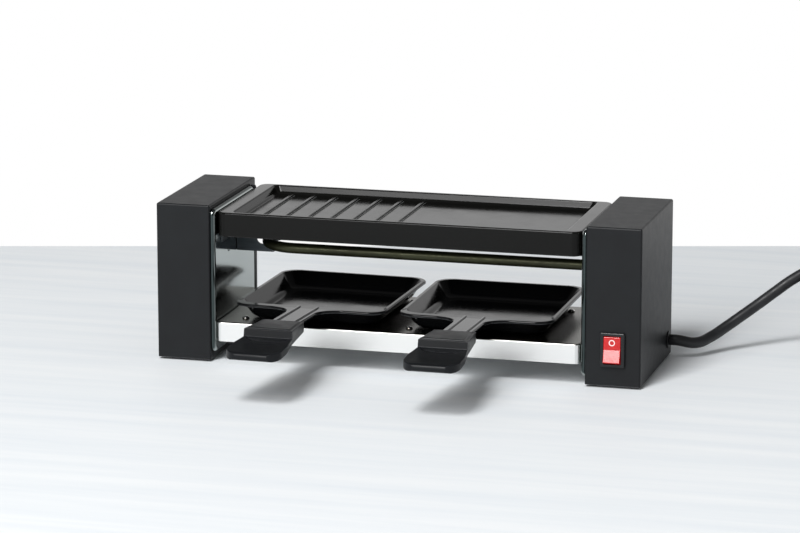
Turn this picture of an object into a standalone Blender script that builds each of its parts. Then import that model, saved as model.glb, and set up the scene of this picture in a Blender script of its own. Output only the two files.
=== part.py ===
"""A table-top raclette grill for two, in metres, +Z up, with -Y towards the user.

Two upright housings carry a grill plate, a heater under it and a tray with two small pans. The origin lies
on the table, in the middle of the grill and its pans. Blender 4.5.
"""

import math

import bmesh
import bpy
from mathutils import Matrix, Vector

LEFT, RIGHT = -1, 1
FRONT, BACK = -1, 1

# Shared fits
GAP = 0.0003
CUT_OVERRUN = 0.002

# Whole object
OVERALL_WIDTH = 0.3024
OVERALL_HEIGHT = 0.098

# Housings
HOUSING_WIDTH = 0.034
HOUSING_DEPTH = 0.0945
HOUSING_WALL = 0.0016
HOUSING_EDGE_ROUND = 0.0012
HOUSING_LIFT = 0.0015
WINDOW_MARGIN = 0.006

# Base plates, their screws and the feet
BASE_THICKNESS = 0.0025
BASE_RECESS = 0.0005
FOOT_RADIUS = 0.005
FOOT_INSET = 0.0125
FOOT_STEM_RADIUS = 0.002
FOOT_STEM_PROUD = 0.001
SCREW_RADIUS = 0.0015
SCREW_HEAD_RADIUS = 0.0028
SCREW_HEAD_HEIGHT = 0.0012
BASE_SCREW_LENGTH = 0.0075
BOSS_WIDTH = 0.008
BOSS_DEPTH = 0.007
BOSS_HEIGHT = 0.0085
BOSS_SIDE_STEP = 0.008

# Steel covers on the inner sides of the housings
PANEL_PROUD = 0.003
PANEL_SHEET = 0.0008
PANEL_FRONT_INSET = 0.0012
PANEL_BACK_INSET = 0.007
PANEL_TOP_INSET = 0.003
PANEL_BOTTOM_INSET = 0.0045
PANEL_CORNER_RADIUS = 0.004
PANEL_EDGE_ROUND = 0.001

# Grill plate
PLATE_SIDE_GAP = 0.0006
PLATE_FRONT_INSET = 0.002
PLATE_BACK_REACH = 0.002
PLATE_TOP_DROP = 0.0044
PLATE_HEIGHT = 0.015
PLATE_CORNER_RADIUS = 0.006
PLATE_EDGE_ROUND = 0.0011
PLATE_WALL = 0.0026
PLATE_FLOOR = 0.003
PLATE_WELL_DEPTH = 0.0048
PLATE_END_RIM = 0.0098
PLATE_SIDE_RIM = 0.0028
PLATE_WELL_CORNER = 0.008
PLATE_WELL_DRAFT = 0.0024
RIB_FIRST = 0.005
RIB_PITCH = 0.0142
RIB_SIDE_GAP = 0.008
RIB_WIDTH = 0.0022
RIB_HEIGHT = 0.0012
RIB_END_GAP = 0.004

# Ledges under the ends of the grill plate
LEDGE_SHEET = 0.0012
LEDGE_REACH = 0.006
LEDGE_DROP = 0.005
LEDGE_END_INSET = 0.012

# Heating element
HEATER_RADIUS = 0.00325
HEATER_DROP = 0.009
HEATER_FORWARD = 0.00225
HEATER_SPREAD = 0.046
HEATER_LEFT_REACH = 0.0212
HEATER_BEND_STEPS = 14
HEATER_TAIL = 0.0072
BUSHING_NECK_RADIUS = 0.0046
BUSHING_FLANGE_RADIUS = 0.0066
BUSHING_FLANGE = 0.0012
BUSHING_NECK_LENGTH = 0.0034
TERMINAL_COLLAR_RADIUS = 0.003
TERMINAL_COLLAR_LENGTH = 0.004
TERMINAL_PIN_RADIUS = 0.0009
TERMINAL_PIN_LENGTH = 0.006

# Bracket that holds the heater's bend
BRACKET_SHEET = 0.0012
BRACKET_HEIGHT = 0.015
BRACKET_BELOW_AXIS = 0.0082
BRACKET_BEYOND_TUBE = 0.0015
BRACKET_FOOT = 0.010
BRACKET_SLOT_LENGTH = 0.0115

# Tray under the pans
TRAY_TOP = 0.0256
TRAY_SHEET = 0.0008
TRAY_APRON = 0.0122
TRAY_SIDE_GAP = 0.0005
TRAY_FRONT_INSET = 0.0008
TRAY_BACK_REACH = 0.0038
TRAY_EDGE_ROUND = 0.0016
TRAY_SCREW_INSET = 0.016
TRAY_SCREW_HEIGHT = 0.019
TRAY_SCREW_LENGTH = 0.0042
DIMPLE_RADIUS = 0.0022
DIMPLE_HEIGHT = 0.0015
DIMPLE_FRONT_INSET = 0.014
DIMPLE_BACK_INSET = 0.0105
DIMPLE_PAN_GAP = 0.0008

# Pans
PAN_LEFT_GAP = 0.0113
PAN_MIDDLE_GAP = 0.0065
PAN_RIGHT_GAP = 0.0186
PAN_DEPTH = 0.1004
PAN_HEIGHT = 0.0111
PAN_SHEET = 0.001
PAN_CORNER_RADIUS = 0.013
PAN_RIM = 0.0025
PAN_FRONT_LIP = 0.0055
PAN_LIP_DROP = 0.0026
PAN_DRAFT = 0.0085
LEFT_PAN_OVERHANG = 0.011
RIGHT_PAN_OVERHANG = 0.0122
LEFT_PAN_TURN = math.radians(-1.6)
RIGHT_PAN_TURN = math.radians(0.1)

# Neck of a pan, which slopes up towards the user
NECK_HALF_WIDTH = 0.009
NECK_FILLET = 0.013
NECK_SLOPE = math.radians(1.7)
NECK_SETBACK = 0.0012
NECK_VISIBLE = 0.0452
NECK_IN_HANDLE = 0.0215
TONGUE_SHEET = 0.0003
NECK_RIB_OFFSET = 0.0058
NECK_RIB_WIDTH = 0.0016
NECK_RIB_HEIGHT = 0.0007

# Handle of a pan
HANDLE_SLEEVE_LENGTH = 0.029
HANDLE_PADDLE_LENGTH = 0.0343
HANDLE_TOP = 0.0012
HANDLE_STEP = 0.0058
HANDLE_SLEEVE_DEPTH = 0.0062
HANDLE_BACK_HALF_WIDTH = 0.0128
HANDLE_STEP_HALF_WIDTH = 0.015
HANDLE_PADDLE_HALF_WIDTH = 0.017
HANDLE_PADDLE_THICKNESS = 0.0048
HANDLE_PADDLE_FALL = 0.0016
HANDLE_CORNER_RADIUS = 0.0075
HANDLE_EDGE_ROUND = 0.0012
HANDLE_PAD_BACK_HALF_WIDTH = 0.010
HANDLE_PAD_FRONT_HALF_WIDTH = 0.013
HANDLE_PAD_HEIGHT = 0.0007
HANDLE_SCOOP_HALF_WIDTH = 0.0118
HANDLE_SCOOP_LENGTH = 0.022
HANDLE_SCOOP_DEPTH = 0.0062
RIVET_RADIUS = 0.0016
RIVET_HEAD_RADIUS = 0.003
RIVET_HEAD_HEIGHT = 0.001

# Rocker switch
SWITCH_HEIGHT = 0.0238
BEZEL_WIDTH = 0.0152
BEZEL_HEIGHT = 0.0212
BEZEL_PROUD = 0.0018
BEZEL_ROUND = 0.0006
SWITCH_BODY_WIDTH = 0.0132
SWITCH_BODY_HEIGHT = 0.0194
SWITCH_BODY_DEPTH = 0.0165
ROCKER_WIDTH = 0.0102
ROCKER_RADIUS = 0.0084
ROCKER_FACE_ANGLE = math.radians(25)
ROCKER_BACK_ANGLE = math.radians(-18)
ROCKER_TILT = math.radians(9)
ROCKER_DISH = 0.0009
ROCKER_AXLE_DEPTH = 0.002
ROCKER_AXLE_RADIUS = 0.001
ROCKER_AXLE_LENGTH = 0.001
ROCKER_BACK_ROOM = 0.0044
SWITCH_TAB_WIDTH = 0.0048
SWITCH_TAB_SHEET = 0.0008
SWITCH_TAB_LENGTH = 0.006
SWITCH_TAB_SPREAD = 0.009

# Thermal limiter on the right cover
LIMITER_RADIUS = 0.008
LIMITER_HEIGHT = 0.0065
LIMITER_BELOW_HEATER = 0.018
LIMITER_TAB_WIDTH = 0.004
LIMITER_TAB_SHEET = 0.0008
LIMITER_TAB_LENGTH = 0.005
LIMITER_TAB_OFFSET = 0.0045

# Earth stud on the right cover
STUD_BACK_INSET = 0.0185
STUD_HEIGHT = 0.020
STUD_DISC_RADIUS = 0.003
STUD_DISC = 0.0012
STUD_RADIUS = 0.0015
STUD_LENGTH = 0.004

# Mains cord
CORD_RADIUS = 0.0034
CORD_EXIT_BACK_INSET = 0.0105
CORD_EXIT_HEIGHT = 0.0117
GROMMET_NECK_RADIUS = 0.0046
GROMMET_FLANGE_RADIUS = 0.0055
GROMMET_FLANGE = 0.0006
CORD_INSIDE_LENGTH = 0.017
CLAMP_INSET = 0.0046
CLAMP_WIDTH = 0.008
CLAMP_DEPTH = 0.0135
CLAMP_HEIGHT = 0.0125
CORD_LEAD = 0.004
CORD_POINT_STEP = 0.013
# The cord's route on from its exit: as it lies in the picture, then on out of view to the coil
CORD_ROUTE = [
    (0.0131, 0.0026, -0.0018),
    (0.0196, 0.0095, -0.0021),
    (0.0276, 0.0205, 0.0018),
    (0.0386, 0.0290, 0.0094),
    (0.0496, 0.0370, 0.0173),
    (0.0611, 0.0435, 0.0260),
    (0.0731, 0.0495, 0.0343),
    (0.0846, 0.0556, 0.0385),
    (0.0956, 0.0624, 0.0374),
    (0.1062, 0.0700, 0.0308),
    (0.1154, 0.0777, 0.0207),
    (0.1240, 0.0858, 0.0097),
    (0.1323, 0.0948, 0.0008),
    (0.1403, 0.1047, -0.0043),
    (0.1477, 0.1154, -0.0064),
]

# Wires in the right housing
WIRE_RADIUS = 0.001
CORE_OFFSET = 0.0014
WIRE_LEAD = 0.002
WIRE_POINT_STEP = 0.004
# Each wire's route: places counted from its start, then places counted from its end
LIVE_ROUTE = (
    [(-0.0029, -0.0021, 0.0), (-0.0057, -0.0056, -0.0005), (-0.0075, -0.0146, -0.0022)],
    [(-0.0072, 0.0269, -0.0105), (-0.0032, 0.0154, -0.0068), (-0.0004, 0.0079, -0.0011)],
)
NEUTRAL_ROUTE = (
    [(-0.0039, -0.0001, 0.0011), (-0.0055, -0.0009, 0.0051), (-0.0059, -0.0027, 0.0131)],
    [(-0.0020, 0.0128, -0.0296), (0.0050, 0.0093, -0.0126), (0.0092, 0.0038, -0.0028)],
)
EARTH_ROUTE = (
    [(-0.0045, -0.0011, -0.0009), (-0.0071, -0.0035, 0.0013)],
    [(0.0050, 0.0030, -0.0040), (0.0042, 0.0008, -0.0006)],
)
SWITCHED_ROUTE = (
    [(0.0002, 0.0069, 0.0005), (0.0010, 0.0139, 0.0047)],
    [(0.0083, -0.0030, -0.0071), (0.0061, -0.0002, -0.0019)],
)
LIMITED_ROUTE = (
    [(0.0051, -0.0005, 0.0005), (0.0101, -0.0040, 0.0029)],
    [(0.0088, 0.0110, -0.0056), (0.0080, 0.0025, -0.0008)],
)

# Coil of spare cord, its tie and the plug
COIL_TURNS = 3.6
COIL_MEAN_RADIUS = 0.036
COIL_GAP = 0.0009
COIL_POINTS_PER_TURN = 24
COIL_START_ANGLE = math.radians(-38)
COIL_START = (0.1544, 0.1259)
COIL_TURNING_SHARE = 0.12
TIE_ANGLE = math.radians(120)
TIE_WIDTH = 0.010
TIE_THICKNESS = 0.001
TIE_CLEARANCE = 0.0004
TIE_CORNER_RADIUS = 0.0025
TAIL_LENGTH = 0.080
TAIL_TURN = math.radians(34)
TAIL_STEPS = 8
PLUG_RADIUS = 0.0185
PLUG_RIM = 0.010
PLUG_EDGE = 0.0012
PLUG_SHOULDER = 0.004
PLUG_GRIP_RADIUS = 0.0115
PLUG_GRIP_LENGTH = 0.017
PLUG_NOSE_RADIUS = 0.0052
PLUG_NOSE_LENGTH = 0.015
PLUG_PIN_RADIUS = 0.0024
PLUG_PIN_LENGTH = 0.019
PLUG_PIN_DEPTH = 0.003
PLUG_PIN_SPREAD = 0.019
PLUG_CLIP_WIDTH = 0.005
PLUG_CLIP_SHEET = 0.0009
PLUG_CLIP_RECESS = 0.0018
PLUG_CLIP_LENGTH = 0.008

# What follows from the sizes above
BAY_HALF = OVERALL_WIDTH / 2 - HOUSING_WIDTH - PANEL_PROUD
INNER_FACE = OVERALL_WIDTH / 2 - HOUSING_WIDTH
PLATE_TOP = OVERALL_HEIGHT - PLATE_TOP_DROP
PLATE_BOTTOM = PLATE_TOP - PLATE_HEIGHT
HEATER_AXIS = PLATE_BOTTOM - HEATER_DROP
BASE_TOP = HOUSING_LIFT + BASE_RECESS + BASE_THICKNESS
PAN_WIDTH = (2 * BAY_HALF - PAN_LEFT_GAP - PAN_MIDDLE_GAP - PAN_RIGHT_GAP) / 2
PAN_FRONT_EDGE = -PAN_DEPTH / 2 + PAN_RIM - PAN_FRONT_LIP
NECK_ROOT = PAN_FRONT_EDGE + NECK_SETBACK
HANDLE_REACH = NECK_VISIBLE + HANDLE_SLEEVE_LENGTH + HANDLE_PADDLE_LENGTH
PAN_FRONT_REACH = HANDLE_REACH * math.cos(NECK_SLOPE) - NECK_ROOT
PANS_BACK = HOUSING_DEPTH + max(LEFT_PAN_OVERHANG, RIGHT_PAN_OVERHANG)
LEAST_OVERHANG = min(LEFT_PAN_OVERHANG, RIGHT_PAN_OVERHANG)
PANS_FRONT = PAN_FRONT_REACH + PAN_DEPTH / 2 - HOUSING_DEPTH - LEAST_OVERHANG
PLATE_DEPTH = HOUSING_DEPTH - PLATE_FRONT_INSET + PLATE_BACK_REACH
TRAY_DEPTH = HOUSING_DEPTH - TRAY_FRONT_INSET + TRAY_BACK_REACH
HOUSING_FRONT = (PANS_FRONT - PANS_BACK) / 2
COIL_PITCH = 2 * CORD_RADIUS + COIL_GAP
COIL_HEIGHT = TIE_THICKNESS + TIE_CLEARANCE + CORD_RADIUS
HEATER_TERMINAL_LENGTH = TERMINAL_COLLAR_LENGTH + TERMINAL_PIN_LENGTH
TURN = 2 * math.pi
# The frame of a pan's neck in the frame of the pan
NECK_FRAME = Matrix.Translation((0, NECK_ROOT, PAN_HEIGHT)) @ Matrix.Rotation(-NECK_SLOPE, 4, "X")


def clear_scene():
    for obj in list(bpy.data.objects):
        bpy.data.objects.remove(obj, do_unlink=True)


def collection(name):
    made = bpy.data.collections.new(name)
    bpy.context.scene.collection.children.link(made)
    return made


clear_scene()
PARTS = collection("raclette_grill")
HELPERS = collection("cutters")


def material(name, colour, roughness, metallic=0.0):
    made = bpy.data.materials.new(name)
    made.use_nodes = True
    shader = made.node_tree.nodes["Principled BSDF"]
    shader.inputs["Base Color"].default_value = (*colour, 1.0)
    shader.inputs["Roughness"].default_value = roughness
    shader.inputs["Metallic"].default_value = metallic
    return made


def as_part(obj, colour, roughness, metallic=0.0):
    """Give the object a material of its own."""
    obj.data.materials.clear()
    obj.data.materials.append(material(obj.name, colour, roughness, metallic))
    return obj


def object_of(name, mesh, helper=False):
    made = bpy.data.objects.new(name, mesh)
    (HELPERS if helper else PARTS).objects.link(made)
    if helper:
        made.hide_render = True
        made.display_type = "WIRE"
    return made


def bevel(obj, width, segments=2, angle=math.radians(35)):
    made = obj.modifiers.new("round_edges", "BEVEL")
    made.width = width
    made.segments = segments
    made.limit_method = "ANGLE"
    made.angle_limit = angle


def boolean(target, other, operation):
    made = target.modifiers.new(operation.lower(), "BOOLEAN")
    made.operation = operation
    made.object = other
    made.solver = "EXACT"


def cut(target, cutter):
    boolean(target, cutter, "DIFFERENCE")


def join(target, other):
    boolean(target, other, "UNION")


def keep_common(target, other):
    boolean(target, other, "INTERSECT")


def box(name, low, high, helper=False):
    """A box between two corners, with its origin at its middle."""
    low, high = Vector(low), Vector(high)
    mesh = bpy.data.meshes.new(name)
    shape = bmesh.new()
    bmesh.ops.create_cube(shape, size=1)
    bmesh.ops.scale(shape, vec=high - low, verts=shape.verts)
    shape.to_mesh(mesh)
    shape.free()
    made = object_of(name, mesh, helper)
    made.location = (low + high) / 2
    return made


AXIS_TURNS = {
    "X": Matrix.Rotation(math.radians(90), 4, "Y"),
    "Y": Matrix.Rotation(math.radians(-90), 4, "X"),
    "Z": Matrix.Identity(4),
}


def cylinder(name, radius, length, centre, axis, sides=24, helper=False):
    mesh = bpy.data.meshes.new(name)
    shape = bmesh.new()
    bmesh.ops.create_cone(
        shape, cap_ends=True, segments=sides, radius1=radius, radius2=radius, depth=length
    )
    shape.to_mesh(mesh)
    shape.free()
    mesh.transform(AXIS_TURNS[axis])
    made = object_of(name, mesh, helper)
    made.location = centre
    return made


def ellipsoid(name, radii, centre, helper=True, segments=24, rings=12):
    mesh = bpy.data.meshes.new(name)
    shape = bmesh.new()
    bmesh.ops.create_uvsphere(shape, u_segments=segments, v_segments=rings, radius=1)
    bmesh.ops.scale(shape, vec=Vector(radii), verts=shape.verts)
    shape.to_mesh(mesh)
    shape.free()
    made = object_of(name, mesh, helper)
    made.location = centre
    return made


def turned(name, profile, axis="Z", steps=24, helper=False):
    """Turn a profile of (radius, height) points, which runs down its outer side, about an axis."""
    mesh = bpy.data.meshes.new(name)
    points = [(radius, 0, height) for radius, height in profile]
    edges = [(i, i + 1) for i in range(len(points) - 1)]
    mesh.from_pydata(points, edges, [])
    made = object_of(name, mesh, helper)
    screw = made.modifiers.new("turn", "SCREW")
    screw.steps = steps
    screw.render_steps = steps
    screw.use_merge_vertices = True
    screw.merge_threshold = 0.00001
    if axis == "X":
        made.rotation_euler = (0, math.radians(90), 0)
    if axis == "Y":
        made.rotation_euler = (math.radians(-90), 0, 0)
    return made


def mesh_from_curve(name, curve, transform=None):
    """The mesh of a curve, with its caps welded on."""
    made = bpy.data.objects.new(name, curve)
    HELPERS.objects.link(made)
    bpy.context.view_layer.update()
    graph = bpy.context.evaluated_depsgraph_get()
    mesh = bpy.data.meshes.new_from_object(made.evaluated_get(graph))
    shape = bmesh.new()
    shape.from_mesh(mesh)
    bmesh.ops.remove_doubles(shape, verts=shape.verts, dist=0.000005)
    bmesh.ops.recalc_face_normals(shape, faces=shape.faces)
    shape.to_mesh(mesh)
    shape.free()
    bpy.data.objects.remove(made, do_unlink=True)
    if transform:
        mesh.transform(transform)
    return mesh


def plate(name, outlines, thickness, transform=None, helper=False):
    """A flat plate of an outline in X and Y, with any holes as further outlines, its middle at height 0."""
    curve = bpy.data.curves.new(name, "CURVE")
    curve.dimensions = "2D"
    curve.fill_mode = "BOTH"
    curve.extrude = thickness / 2
    for points in outlines:
        spline = curve.splines.new("POLY")
        spline.points.add(len(points) - 1)
        for place, (x, y) in zip(spline.points, points):
            place.co = (x, y, 0, 1)
        spline.use_cyclic_u = True
    return object_of(name, mesh_from_curve(name, curve, transform), helper)


# Turns a plate drawn in X and Y to stand in Y and Z, or in X and Z
STAND_IN_YZ = Matrix(((0, 0, 1, 0), (1, 0, 0, 0), (0, 1, 0, 0), (0, 0, 0, 1)))
STAND_IN_XZ = Matrix(((1, 0, 0, 0), (0, 0, -1, 0), (0, 1, 0, 0), (0, 0, 0, 1)))
# Turn a handle drawn from its side, or from above, to run towards the user along its neck
ALONG_NECK = Matrix(((0, 0, 1, 0), (-1, 0, 0, 0), (0, 1, 0, 0), (0, 0, 0, 1)))
FROM_ABOVE = Matrix(((1, 0, 0, 0), (0, -1, 0, 0), (0, 0, -1, 0), (0, 0, 0, 1)))


def arc(centre, radius, start, end, steps):
    """Points on an arc, both ends included. Angles are in degrees."""
    found = []
    for i in range(steps + 1):
        angle = math.radians(start + (end - start) * i / steps)
        found.append((centre[0] + radius * math.cos(angle), centre[1] + radius * math.sin(angle)))
    return found


def rounded_rectangle(width, depth, radius, steps=5, centre=(0, 0)):
    x, y = width / 2 - radius, depth / 2 - radius
    found = []
    for i, (sx, sy) in enumerate(((1, 1), (-1, 1), (-1, -1), (1, -1))):
        corner = (centre[0] + sx * x, centre[1] + sy * y)
        found += arc(corner, radius, 90 * i, 90 * (i + 1), steps)
    return found


def inset_outline(points, distance):
    """The outline, run anticlockwise, drawn in by a distance."""
    found = []
    count = len(points)
    for i in range(count):
        before, here, after = (Vector(points[j % count]) for j in (i - 1, i, i + 1))
        first = (here - before).normalized()
        second = (after - here).normalized()
        normals = [Vector((-way.y, way.x)) for way in (first, second)]
        middle = (normals[0] + normals[1]).normalized()
        moved = here + middle * (distance / max(middle.dot(normals[0]), math.cos(math.radians(60))))
        found.append((moved.x, moved.y))
    return found


def tapered(name, outline, height, low_scale, top, helper=False):
    """A solid that narrows downwards from an outline at the height top."""
    mesh = bpy.data.meshes.new(name)
    shape = bmesh.new()
    upper = shape.faces.new([shape.verts.new((x, y, top)) for x, y in outline])
    lower = bmesh.ops.extrude_face_region(shape, geom=[upper])["geom"]
    moved = [item for item in lower if isinstance(item, bmesh.types.BMVert)]
    bmesh.ops.scale(shape, vec=Vector((low_scale[0], low_scale[1], 1)), verts=moved)
    bmesh.ops.translate(shape, vec=Vector((0, 0, -height)), verts=moved)
    bmesh.ops.recalc_face_normals(shape, faces=shape.faces)
    shape.to_mesh(mesh)
    shape.free()
    return object_of(name, mesh, helper)


def smooth_route(points, step):
    """Points about a step apart on a smooth curve through the given ones."""
    points = [Vector(point) for point in points]
    ends = [2 * points[0] - points[1], *points, 2 * points[-1] - points[-2]]
    fine = []
    for a, b, c, d in zip(ends, ends[1:], ends[2:], ends[3:]):
        for i in range(16):
            t = i / 16
            fine.append(
                0.5
                * (2 * b + (c - a) * t + (2 * a - 5 * b + 4 * c - d) * t**2 + (3 * b - a - 3 * c + d) * t**3)
            )
    fine.append(points[-1])
    total = route_length(fine)
    count = max(2, round(total / step))
    found = [fine[0]]
    walked = 0
    for a, b in zip(fine, fine[1:]):
        stretch = (b - a).length
        while len(found) < count and walked + stretch >= total * len(found) / count:
            found.append(a.lerp(b, (total * len(found) / count - walked) / stretch))
        walked += stretch
    return [*found, fine[-1]]


def route_length(points):
    return sum((Vector(b) - Vector(a)).length for a, b in zip(points, points[1:]))


def tube(name, points, radius, resolution=2):
    """A round tube through the points, with closed ends."""
    curve = bpy.data.curves.new(name, "CURVE")
    curve.dimensions = "3D"
    curve.bevel_depth = radius
    curve.bevel_resolution = resolution
    curve.use_fill_caps = True
    spline = curve.splines.new("POLY")
    spline.points.add(len(points) - 1)
    for place, point in zip(spline.points, points):
        place.co = (*point, 1)
    return object_of(name, mesh_from_curve(name, curve))


def shade_round(obj, angle=math.radians(40)):
    if obj.data.polygons:
        obj.data.shade_smooth()
        obj.data.set_sharp_from_angle(angle=angle)


def y_at(inset):
    """The place of something that lies so far behind the housings' front."""
    return HOUSING_FRONT + inset


def side_name(side):
    return "left" if side == LEFT else "right"


def housing_middle(side):
    return side * (OVERALL_WIDTH / 2 - HOUSING_WIDTH / 2)


def make_housing(side):
    """The shell of one housing, open below and with a window behind its steel cover."""
    name = side_name(side) + "_housing_shell"
    inner, outer = sorted((side * INNER_FACE, side * OVERALL_WIDTH / 2))
    front, back = y_at(0), y_at(HOUSING_DEPTH)
    shell = box(name, (inner, front, HOUSING_LIFT), (outer, back, OVERALL_HEIGHT))
    bevel(shell, HOUSING_EDGE_ROUND)
    hollow = box(
        name + "_hollow",
        (inner + HOUSING_WALL, front + HOUSING_WALL, HOUSING_LIFT - CUT_OVERRUN),
        (outer - HOUSING_WALL, back - HOUSING_WALL, OVERALL_HEIGHT - HOUSING_WALL),
        helper=True,
    )
    cut(shell, hollow)
    window_from = side * (INNER_FACE - CUT_OVERRUN)
    window_to = side * (INNER_FACE + HOUSING_WALL + CUT_OVERRUN)
    window = box(
        name + "_window",
        (
            min(window_from, window_to),
            y_at(PANEL_FRONT_INSET + WINDOW_MARGIN),
            HOUSING_LIFT + PANEL_BOTTOM_INSET + WINDOW_MARGIN,
        ),
        (
            max(window_from, window_to),
            y_at(HOUSING_DEPTH - PANEL_BACK_INSET - WINDOW_MARGIN),
            OVERALL_HEIGHT - PANEL_TOP_INSET - WINDOW_MARGIN,
        ),
        helper=True,
    )
    cut(shell, window)
    for end in (FRONT, BACK):
        boss_x, boss_y = screw_place(side, end)
        wall_y = y_at(HOUSING_WALL / 2) if end == FRONT else y_at(HOUSING_DEPTH - HOUSING_WALL / 2)
        low_y, high_y = sorted((wall_y, boss_y - end * BOSS_DEPTH / 2))
        boss = box(
            f"{name}_boss_{end}",
            (boss_x - BOSS_WIDTH / 2, low_y, BASE_TOP + GAP),
            (boss_x + BOSS_WIDTH / 2, high_y, BASE_TOP + GAP + BOSS_HEIGHT),
            helper=True,
        )
        join(shell, boss)
        pilot = cylinder(
            f"{name}_pilot_{end}",
            SCREW_RADIUS + GAP,
            2 * BASE_SCREW_LENGTH,
            (boss_x, boss_y, BASE_TOP),
            "Z",
            sides=12,
            helper=True,
        )
        cut(shell, pilot)
    as_part(shell, (0.035, 0.038, 0.042), 0.45)
    return shell


def screw_place(side, end):
    """The place, in X and Y, of a screw that holds a base plate."""
    x = housing_middle(side) - side * BOSS_SIDE_STEP
    reach = HOUSING_WALL + BOSS_DEPTH / 2
    return x, y_at(reach) if end == FRONT else y_at(HOUSING_DEPTH - reach)


def foot_place(side, end):
    inset = FOOT_INSET if end == FRONT else HOUSING_DEPTH - FOOT_INSET
    return housing_middle(side), y_at(inset)


def make_base(side):
    """The plate that closes a housing below, with its feet and screws."""
    name = side_name(side)
    reach = HOUSING_WIDTH / 2 - HOUSING_WALL - GAP
    middle = housing_middle(side)
    bottom = HOUSING_LIFT + BASE_RECESS
    base = box(
        name + "_base_plate",
        (middle - reach, y_at(HOUSING_WALL + GAP), bottom),
        (middle + reach, y_at(HOUSING_DEPTH - HOUSING_WALL - GAP), BASE_TOP),
    )
    for end, end_name in ((FRONT, "front"), (BACK, "back")):
        x, y = screw_place(side, end)
        head_room = cylinder(
            f"{name}_head_room_{end_name}",
            SCREW_HEAD_RADIUS + GAP,
            2 * (SCREW_HEAD_HEIGHT + GAP),
            (x, y, bottom),
            "Z",
            helper=True,
        )
        shank_room = cylinder(
            f"{name}_shank_room_{end_name}",
            SCREW_RADIUS + GAP,
            4 * BASE_THICKNESS,
            (x, y, bottom),
            "Z",
            sides=12,
            helper=True,
        )
        cut(base, head_room)
        cut(base, shank_room)
        screw = turned(
            f"{name}_base_screw_{end_name}",
            [
                (0, BASE_SCREW_LENGTH),
                (SCREW_RADIUS, BASE_SCREW_LENGTH),
                (SCREW_RADIUS, SCREW_HEAD_HEIGHT),
                (SCREW_HEAD_RADIUS, SCREW_HEAD_HEIGHT),
                (SCREW_HEAD_RADIUS, 0),
                (0, 0),
            ],
            steps=12,
        )
        screw.location = (x, y, bottom)
        as_part(screw, (0.6, 0.6, 0.6), 0.35, 1.0)
        foot_x, foot_y = foot_place(side, end)
        stem_room = cylinder(
            f"{name}_stem_room_{end_name}",
            FOOT_STEM_RADIUS + GAP,
            4 * BASE_THICKNESS,
            (foot_x, foot_y, bottom),
            "Z",
            sides=16,
            helper=True,
        )
        cut(base, stem_room)
        pad = bottom - GAP
        foot = turned(
            f"{name}_foot_{end_name}",
            [
                (0, BASE_TOP + FOOT_STEM_PROUD),
                (FOOT_STEM_RADIUS, BASE_TOP + FOOT_STEM_PROUD),
                (FOOT_STEM_RADIUS, pad),
                (FOOT_RADIUS, pad),
                (FOOT_RADIUS - pad / 4, 0),
                (0, 0),
            ],
            steps=20,
        )
        foot.location = (foot_x, foot_y, 0)
        as_part(foot, (0.02, 0.02, 0.02), 0.8)
    as_part(base, (0.02, 0.02, 0.022), 0.6)


def heater_y(end):
    return bracket_y() + end * HEATER_SPREAD / 2


def make_panel(side):
    """The pressed steel cover on the inner side of a housing."""
    name = side_name(side) + "_side_panel"
    depth = HOUSING_DEPTH - PANEL_FRONT_INSET - PANEL_BACK_INSET
    low = HOUSING_LIFT + PANEL_BOTTOM_INSET
    high = OVERALL_HEIGHT - PANEL_TOP_INSET
    outline = rounded_rectangle(depth, high - low, PANEL_CORNER_RADIUS)
    middle_y = y_at(PANEL_FRONT_INSET + depth / 2)
    middle_z = (low + high) / 2
    thickness = PANEL_PROUD - GAP
    panel = plate(name, [outline], thickness, STAND_IN_YZ)
    panel.location = (side * (BAY_HALF + thickness / 2), middle_y, middle_z)
    bevel(panel, PANEL_EDGE_ROUND)
    inside = inset_outline(outline, PANEL_SHEET)
    hollow = plate(name + "_hollow", [inside], thickness, STAND_IN_YZ, helper=True)
    hollow.location = (side * (BAY_HALF + PANEL_SHEET + thickness / 2), middle_y, middle_z)
    cut(panel, hollow)
    for end in (FRONT, BACK):
        tray_hole = cylinder(
            f"{name}_tray_hole_{end}",
            SCREW_RADIUS + GAP,
            4 * PANEL_SHEET,
            (side * (BAY_HALF + PANEL_SHEET / 2), tray_screw_y(end), TRAY_SCREW_HEIGHT),
            "X",
            sides=12,
            helper=True,
        )
        cut(panel, tray_hole)
        if side == RIGHT:
            heater_hole = cylinder(
                f"{name}_heater_hole_{end}",
                BUSHING_NECK_RADIUS + GAP,
                4 * PANEL_SHEET,
                (BAY_HALF + PANEL_SHEET / 2, heater_y(end), HEATER_AXIS),
                "X",
                helper=True,
            )
            cut(panel, heater_hole)
    as_part(panel, (0.62, 0.62, 0.6), 0.25, 1.0)


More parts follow.
